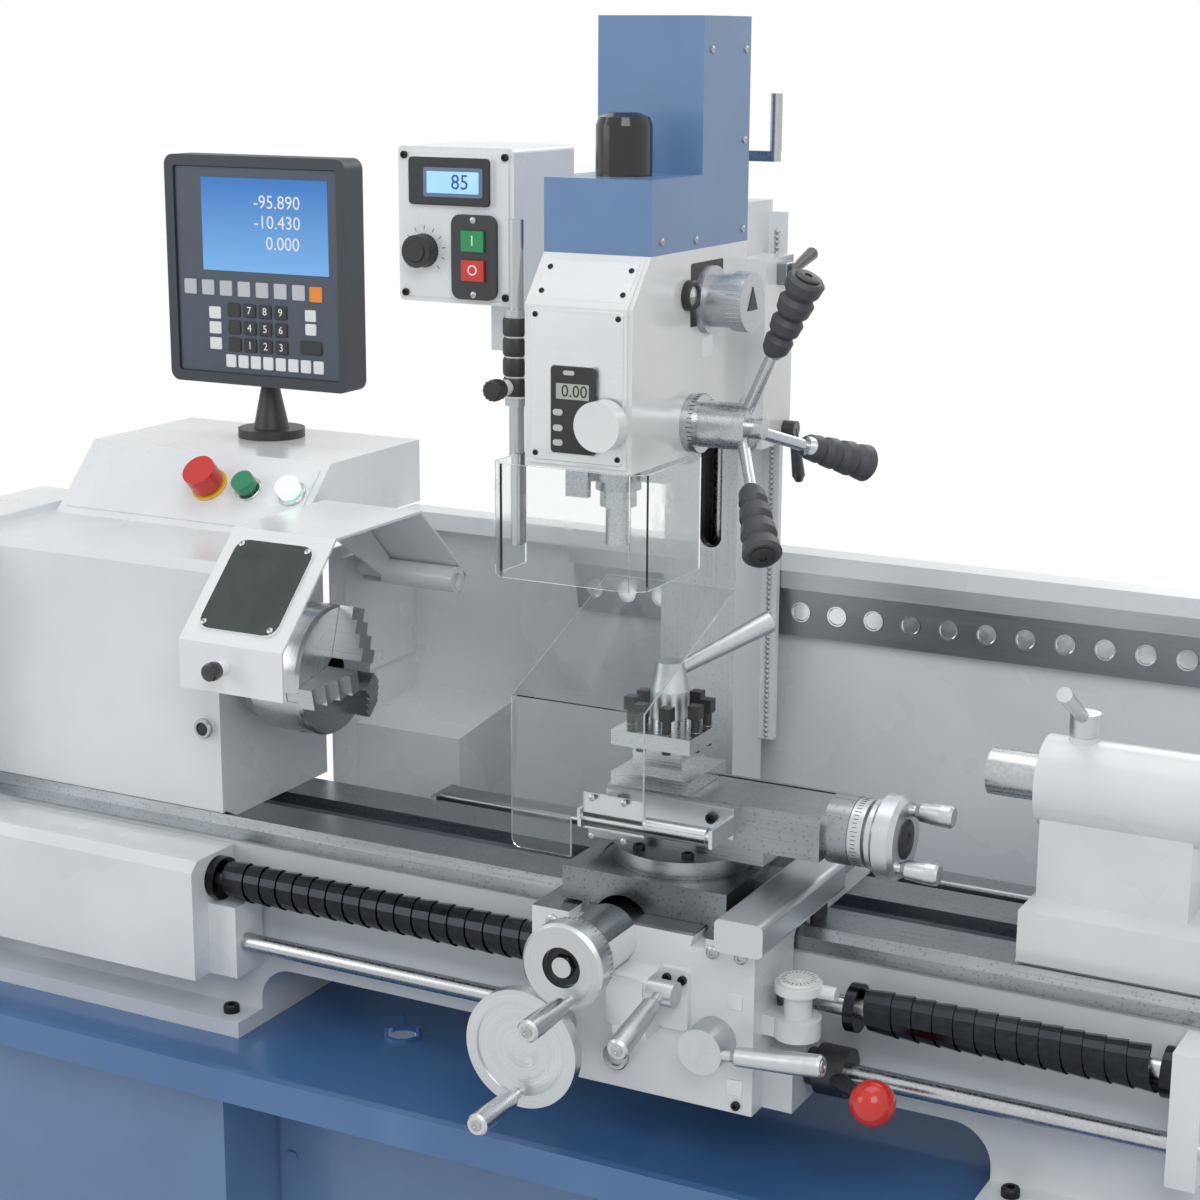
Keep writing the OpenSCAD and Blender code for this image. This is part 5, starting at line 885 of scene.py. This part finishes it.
# Spindle, chuck and jaws: ground and polished iron and hard steel. The chuck's face has fine
# turning rings round the spindle's line, and the jaws are stepped.
def turned_rings(tree, where, light, dark, centre, flat, ring=0.0016, rough=0.22):
    """Metal turned on a lathe: fine rings round one line, which catch the light."""
    moved = vector_calc(tree, "SUBTRACT", where, centre)
    across = vector_calc(tree, "MULTIPLY", moved, flat)
    radius = vector_calc(tree, "LENGTH", across)
    keep = [1 - c for c in flat]
    along = vector_calc(tree, "DOT_PRODUCT", moved, keep)
    pair = add(tree, "CombineXYZ", {0: radius, 1: along})
    marks = noise(tree, pair.outputs[0], 1 / ring)
    cloud = noise(tree, where, 14.0, 3.0)
    both = mix_of(tree, 0.35, marks, cloud)
    tone = tone_of(tree, both, dark, light)
    dull = spread(tree, marks, rough - 0.08, rough + 0.14)
    bump = bump_of(tree, marks, 0.2)
    return {"Base Color": tone, "Roughness": dull, "Metallic": 1.0, "Normal": bump}


def lathe_turned(name, light, dark, centre, flat, **how):
    """One turned metal as a whole material."""
    made, tree, coat, where = finish(name)
    plug(tree, coat, turned_rings(tree, where, light, dark, centre, flat, **how))
    return made


dress("chuck spindle", lathe_turned("ground chuck iron", "#d3d5d6", "#aaadb0", spot(0, 0, 0), (0, 1, 1)))
dress("jaw_1 jaw_2 jaw_3", machined("hardened jaw steel", "#cfd1d3", "#9fa3a6", line=0.002, rough=0.3))
sockets = bmesh.new()
for a in (12, 132, 252):
    out = Vector((0, math.cos(math.radians(a)), math.sin(math.radians(a))))
    slab(sockets, spot(-30, 0, 0) + out * 0.0796, (1, 0, 0), out.cross(Vector((1, 0, 0))), 15, 15, 0.7,
         corner=7, bevel=0.2)
piece("chuck_key_sockets", "work_spindle", sockets, *OXIDE)


# Carriage: the saddle is enamelled below and ground on top, with the cross slide, swivel base and
# top slide in bare ground iron. Dried oil and fine scratches run along each slide.
saddle_coat, tree, coat, where = finish("enamelled casting with a ground top")
bare = ground_metal(tree, where, "#9ea3a6", "#71777b", along=(0, 1, 0), speckle=0.2)
cast = sprayed(tree, where, CAST_LIGHT, CAST_DARK, peel=0.02, rough=0.3)
wiper = sprayed(tree, where, "#2c2e31", "#222427", peel=0.01, rough=0.6)
look = parted(tree, beyond(tree, where, "Z", -158.4), bare, cast)
ends = calc(tree, "MAXIMUM", beyond(tree, where, "X", 394.8, above=False), beyond(tree, where, "X", 658.2))
plug(tree, coat, parted(tree, ends, wiper, look))
dress("saddle", saddle_coat)
slide_coat, tree, coat, where = finish("ground slide iron with a bright cover")
iron = ground_metal(tree, where, "#9a9fa3", "#6b7175", along=(0, 1, 0), line=0.0018, speckle=0.5)
satin = ground_metal(tree, where, "#d4d8db", "#bfc4c8", along=(0, 1, 0), rough=0.38)
plug(tree, coat, parted(tree, beyond(tree, where, "X", 627.5), satin, iron))
dress("cross_slide", slide_coat)
dress("swivel_base", machined("bright ground iron ring", "#b5b9bc", "#878c90", line=0.002))
top_coat, tree, coat, where = finish("ground top slide with a satin strap")
iron = ground_metal(tree, where, "#b0b4b7", "#7f8488", line=0.002, speckle=0.35)
satin = ground_metal(tree, where, "#dadddf", "#c4c8cb", rough=0.34)
plug(tree, coat, parted(tree, beyond(tree, where, "Y", -142.2, above=False), satin, iron))
dress("top_slide", top_coat)
laid("strap_bolts", "compound",
     [spot(x, -146, z) for x, z in ((470, -46), (575, -51))], (0, -1, 0), socket_head(6, 6), *OXIDE)
laid("guard_leaf_screws", "shield",
     [spot(x, -205, z) for z in (-72, -30) for x in (462, 500)], (0, -1, 0), slot_head(3.6, 2), *ZINC)
graduations("swivel_graduations", "swivel", spot(521, -97, -99), 0.0735, (0, -1, 0), X_WAY, None,
            (31, -45, 3), 0.6, (5, 4, 7), 0.15)
laid("swivel_bolts", "swivel",
     [spot(521 + 62 * math.cos(math.radians(a)), -97 + 62 * math.sin(math.radians(a)),
           -99) for a in (-118, -62)],
     (0, 0, 1), socket_head(7, 6), *OXIDE)


# Four-way tool post: ground steel block with square-headed clamping bolts in black oxide, and
# a cast aluminium clamping lever.
post_coat, tree, coat, where = finish("ground post steel with blackened bolts")
steel_look = ground_metal(tree, where, "#cfd2d4", "#a5a9ac", line=0.0016, rough=0.24)
black_look = sprayed(tree, where, "#303236", "#222427", peel=0.004, rough=0.4)
moved = vector_calc(tree, "SUBTRACT", where, spot(500, -97, 0))
round_it = vector_calc(tree, "MULTIPLY", moved, (1, 1, 0))
reach = vector_calc(tree, "LENGTH", round_it)
bolts = both_of(tree, calc(tree, "GREATER_THAN", reach, 0.024), beyond(tree, where, "Z", 29.3))
shanks = both_of(tree, beyond(tree, where, "Z", 11.7, above=False), beyond(tree, where, "Z", 6.5))
shanks = both_of(tree, shanks, calc(tree, "GREATER_THAN", reach, 0.0305))
either = calc(tree, "MAXIMUM", bolts, shanks)
plug(tree, coat, parted(tree, either, black_look, steel_look))
dress("tool_post", post_coat)
lever_alu = plated("cast aluminium", "#d2d5d7", "#bcc0c3", 0.36)
dress("clamp_lever", lever_alu)


# Clear chip guard over the tool post: 4 mm acrylic sheet, bent once, with a white edge where
# the sheet's cut side gathers light, on a steel hinge leaf.
def on_leaf(tree, where):
    """1 on the chip guard's hinge leaf."""
    leaf = both_of(tree, beyond(tree, where, "Z", -25.5, above=False), beyond(tree, where, "X", 449.5))
    return both_of(tree, leaf, beyond(tree, where, "Y", -200.9))


dress("chip_guard", clear_sheet("clear acrylic with a steel leaf", on_leaf, "#cfd2d4", 0.3, 0.12, "X"))


# Handwheels and levers: turned aluminium wheels and satin-polished grips with a slotted screw
# in the end; the graduated rings are engraved and filled with black.
POLISHED, SATIN = ("#dcdfe1", "#b9bdc0"), ("#d6d9db", "#b3b7ba")
WHEELS = (("carriage_handwheel", "polished aluminium wheel", POLISHED, (428, -282, -286), (1, 0, 1), 0.26),
          ("cross_handwheel", "satin cross-feed wheel", SATIN, (489, -300, -174), (1, 0, 1), 0.3),
          ("top_handwheel", "satin top-slide wheel", SATIN, (722, -97, -57), (0, 1, 1), 0.3),
          ("tailstock_wheel", "polished tailstock wheel", POLISHED, (1098, 0, 0), (0, 1, 1), 0.26))
for node, name, tones, centre, flat, rough in WHEELS:
    dress(node, lathe_turned(name, *tones, spot(*centre), flat, ring=0.002, rough=rough))
dress("feed_lever nut_lever tailstock_lever", lever_alu)
HANDLE_ENDS = (("carriage_handle", "carriage_wheel", (423.5, -385, -337.8), (0, -1, 0)),
               ("cross_handle", "cross_wheel", (495.4, -406.3, -210.4), (0, -1, 0)),
               ("feed_handle", "feed_arm", (567, -349.1, -238.2), (0, -0.97, -0.242)),
               ("nut_handle", "nut_arm", (749.4, -248, -256.3), (0.9945, 0, 0.1045)))
for name, body, place, toward in HANDLE_ENDS:
    laid(name + "_screw", body, [spot(*place)], toward, slot_head(6.5, 1.8), *ZINC)
turned_piece("cross_cup_floor", "cross_wheel", rings([(21.6, 0), (21.6, 1), (21, 1.2)], 48),
             spot(489, -313.1, -174), (0, -1, 0), *CASE)
turned_piece("cross_cup_nut", "cross_wheel", rings([(13.5, 0, 6, 0), (13.5, 6, 6, 0), (11.5, 7.4)], 48),
             spot(489, -314, -174), (0, -1, 0), *OXIDE)
CUP_DEPTH = 45
top_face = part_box("top_handwheel")[1][0] * 1000 + 270 - CUP_DEPTH
turned_piece("top_wheel_cap", "compound_wheel",
             rings([(21, 0), (21, 1.6), (19.5, 2.4), (8, 2.4), (7, 1)], 40), spot(top_face, -97, -57),
             (1, 0, 0), *CASE)
graduations("cross_graduations", "cross_wheel", spot(489, -294, -174), 0.0441, Z_WAY, X_WAY, Y_WAY,
            (50, 0, 7.2), 0.6, (5, 8, 5), 0.2)
graduations("top_graduations", "compound_wheel", spot(729, -97, -57), 0.0361, Z_WAY, Y_WAY, X_WAY,
            (50, 0, 7.2), 0.6, (5, 8, 5), 0.2)


# Apron fittings: a thread dial with a white face, an oil level glass, ball oilers and black
# cap screws; the label places are left as bare satin plates.
dress("thread_dial", paint("white dial enamel", "#f2f3f3", "#e8eaeb", peel=0.03, rough=0.25))
graduations("dial_graduations", "dial", spot(692, -178, -198), 0.0165, Y_WAY, X_WAY, None,
            (24, 0, 15), 0.7, (2, 6, 3.5), 0.2)
plates("apron_plates", "carriage", plate_satin, "anodised",
       [(spot(526, -252, -230), *FRONT, 44, 56, 0.8, 2), (spot(636, -215, -222), *FRONT, 18, 18, 0.8, 1.5),
        (spot(638, -215, -318), *FRONT, 18, 18, 0.8, 1.5)])
laid("apron_screws", "carriage",
     [spot(x, -223, -206) for x in (562, 580)] + [spot(x, -215, -338) for x in (410, 640)], (0, -1, 0),
     socket_head(5, 4), *OXIDE)
oiler = rings([(7, 0), (7, 2), (5, 3.4), (2.6, 3.4), (2.2, 2.4)], 28)
laid("ball_oilers", "carriage", [spot(x, -215, -172) for x in (610, 642, 420)], (0, -1, 0), oiler, *ZINC)
turned_piece("apron_glass_ring", "carriage",
             rings([(15, 0), (15, 4), (13.6, 5.4), (9.6, 5.4), (9, 3)], 40), spot(503, -223, -308),
             (0, -1, 0), *ZINC)
turned_piece("head_glass_ring", "frame",
             rings([(12.6, 0), (12.6, 4), (11.4, 5.4), (8.4, 5.4), (8, 3)], 40), spot(-125, -100, -65),
             (0, -1, 0), *ZINC)
turned_piece("head_glass", "frame", rings([(8, 3.1), (8, 3.4), (4, 4.2), (1, 4.4)], 32),
             spot(-125, -100, -65), (0, -1, 0), *CASE)


# Leadscrew, rod and their spiral covers: the covers are blued spring-steel strip, glossy with
# oil, and their turns slide over each other as the carriage moves. The imported cover is cut in
# two at the carriage, into a left and a right cover. The control lever is black with a red ball.
blued = machined("oiled blued spring steel", "#3a3d41", "#1f2124", along=(0, 0, 0), line=0.01, rough=0.22)
BETWEEN_COVERS = spot(560, 0, 0).x
for name, fixed_end, moving_end in (("left_screw_cover", -71, 382.7), ("right_screw_cover", 1068, 748)):
    wound = bmesh.new()
    wound.from_mesh(nodes["screw_covers"].data)
    on_left = fixed_end < moving_end
    bmesh.ops.delete(wound, geom=[v for v in wound.verts if (v.co.x < BETWEEN_COVERS) != on_left],
                     context="VERTS")
    mesh = meshed(name, wound)
    mesh.materials.append(blued)
    cover = placed(name, mesh)
    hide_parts("screw_covers")
    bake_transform(cover)
dress("leadscrew control_rod tailstock_barrel", turned_steel)
lever_coat, tree, coat, where = finish("black casting with a red ball")
dark = sprayed(tree, where, "#2d2f33", "#232528", peel=0.01, rough=0.36)
red = sprayed(tree, where, "#d93a30", "#cb2e26", peel=0.03, rough=0.12)
from_ball = vector_calc(tree, "DISTANCE", where, spot(792, -216, -300))
on_ball = calc(tree, "LESS_THAN", from_ball, 0.0246)
plug(tree, coat, parted(tree, on_ball, red, dark))
dress("control_lever", lever_coat)
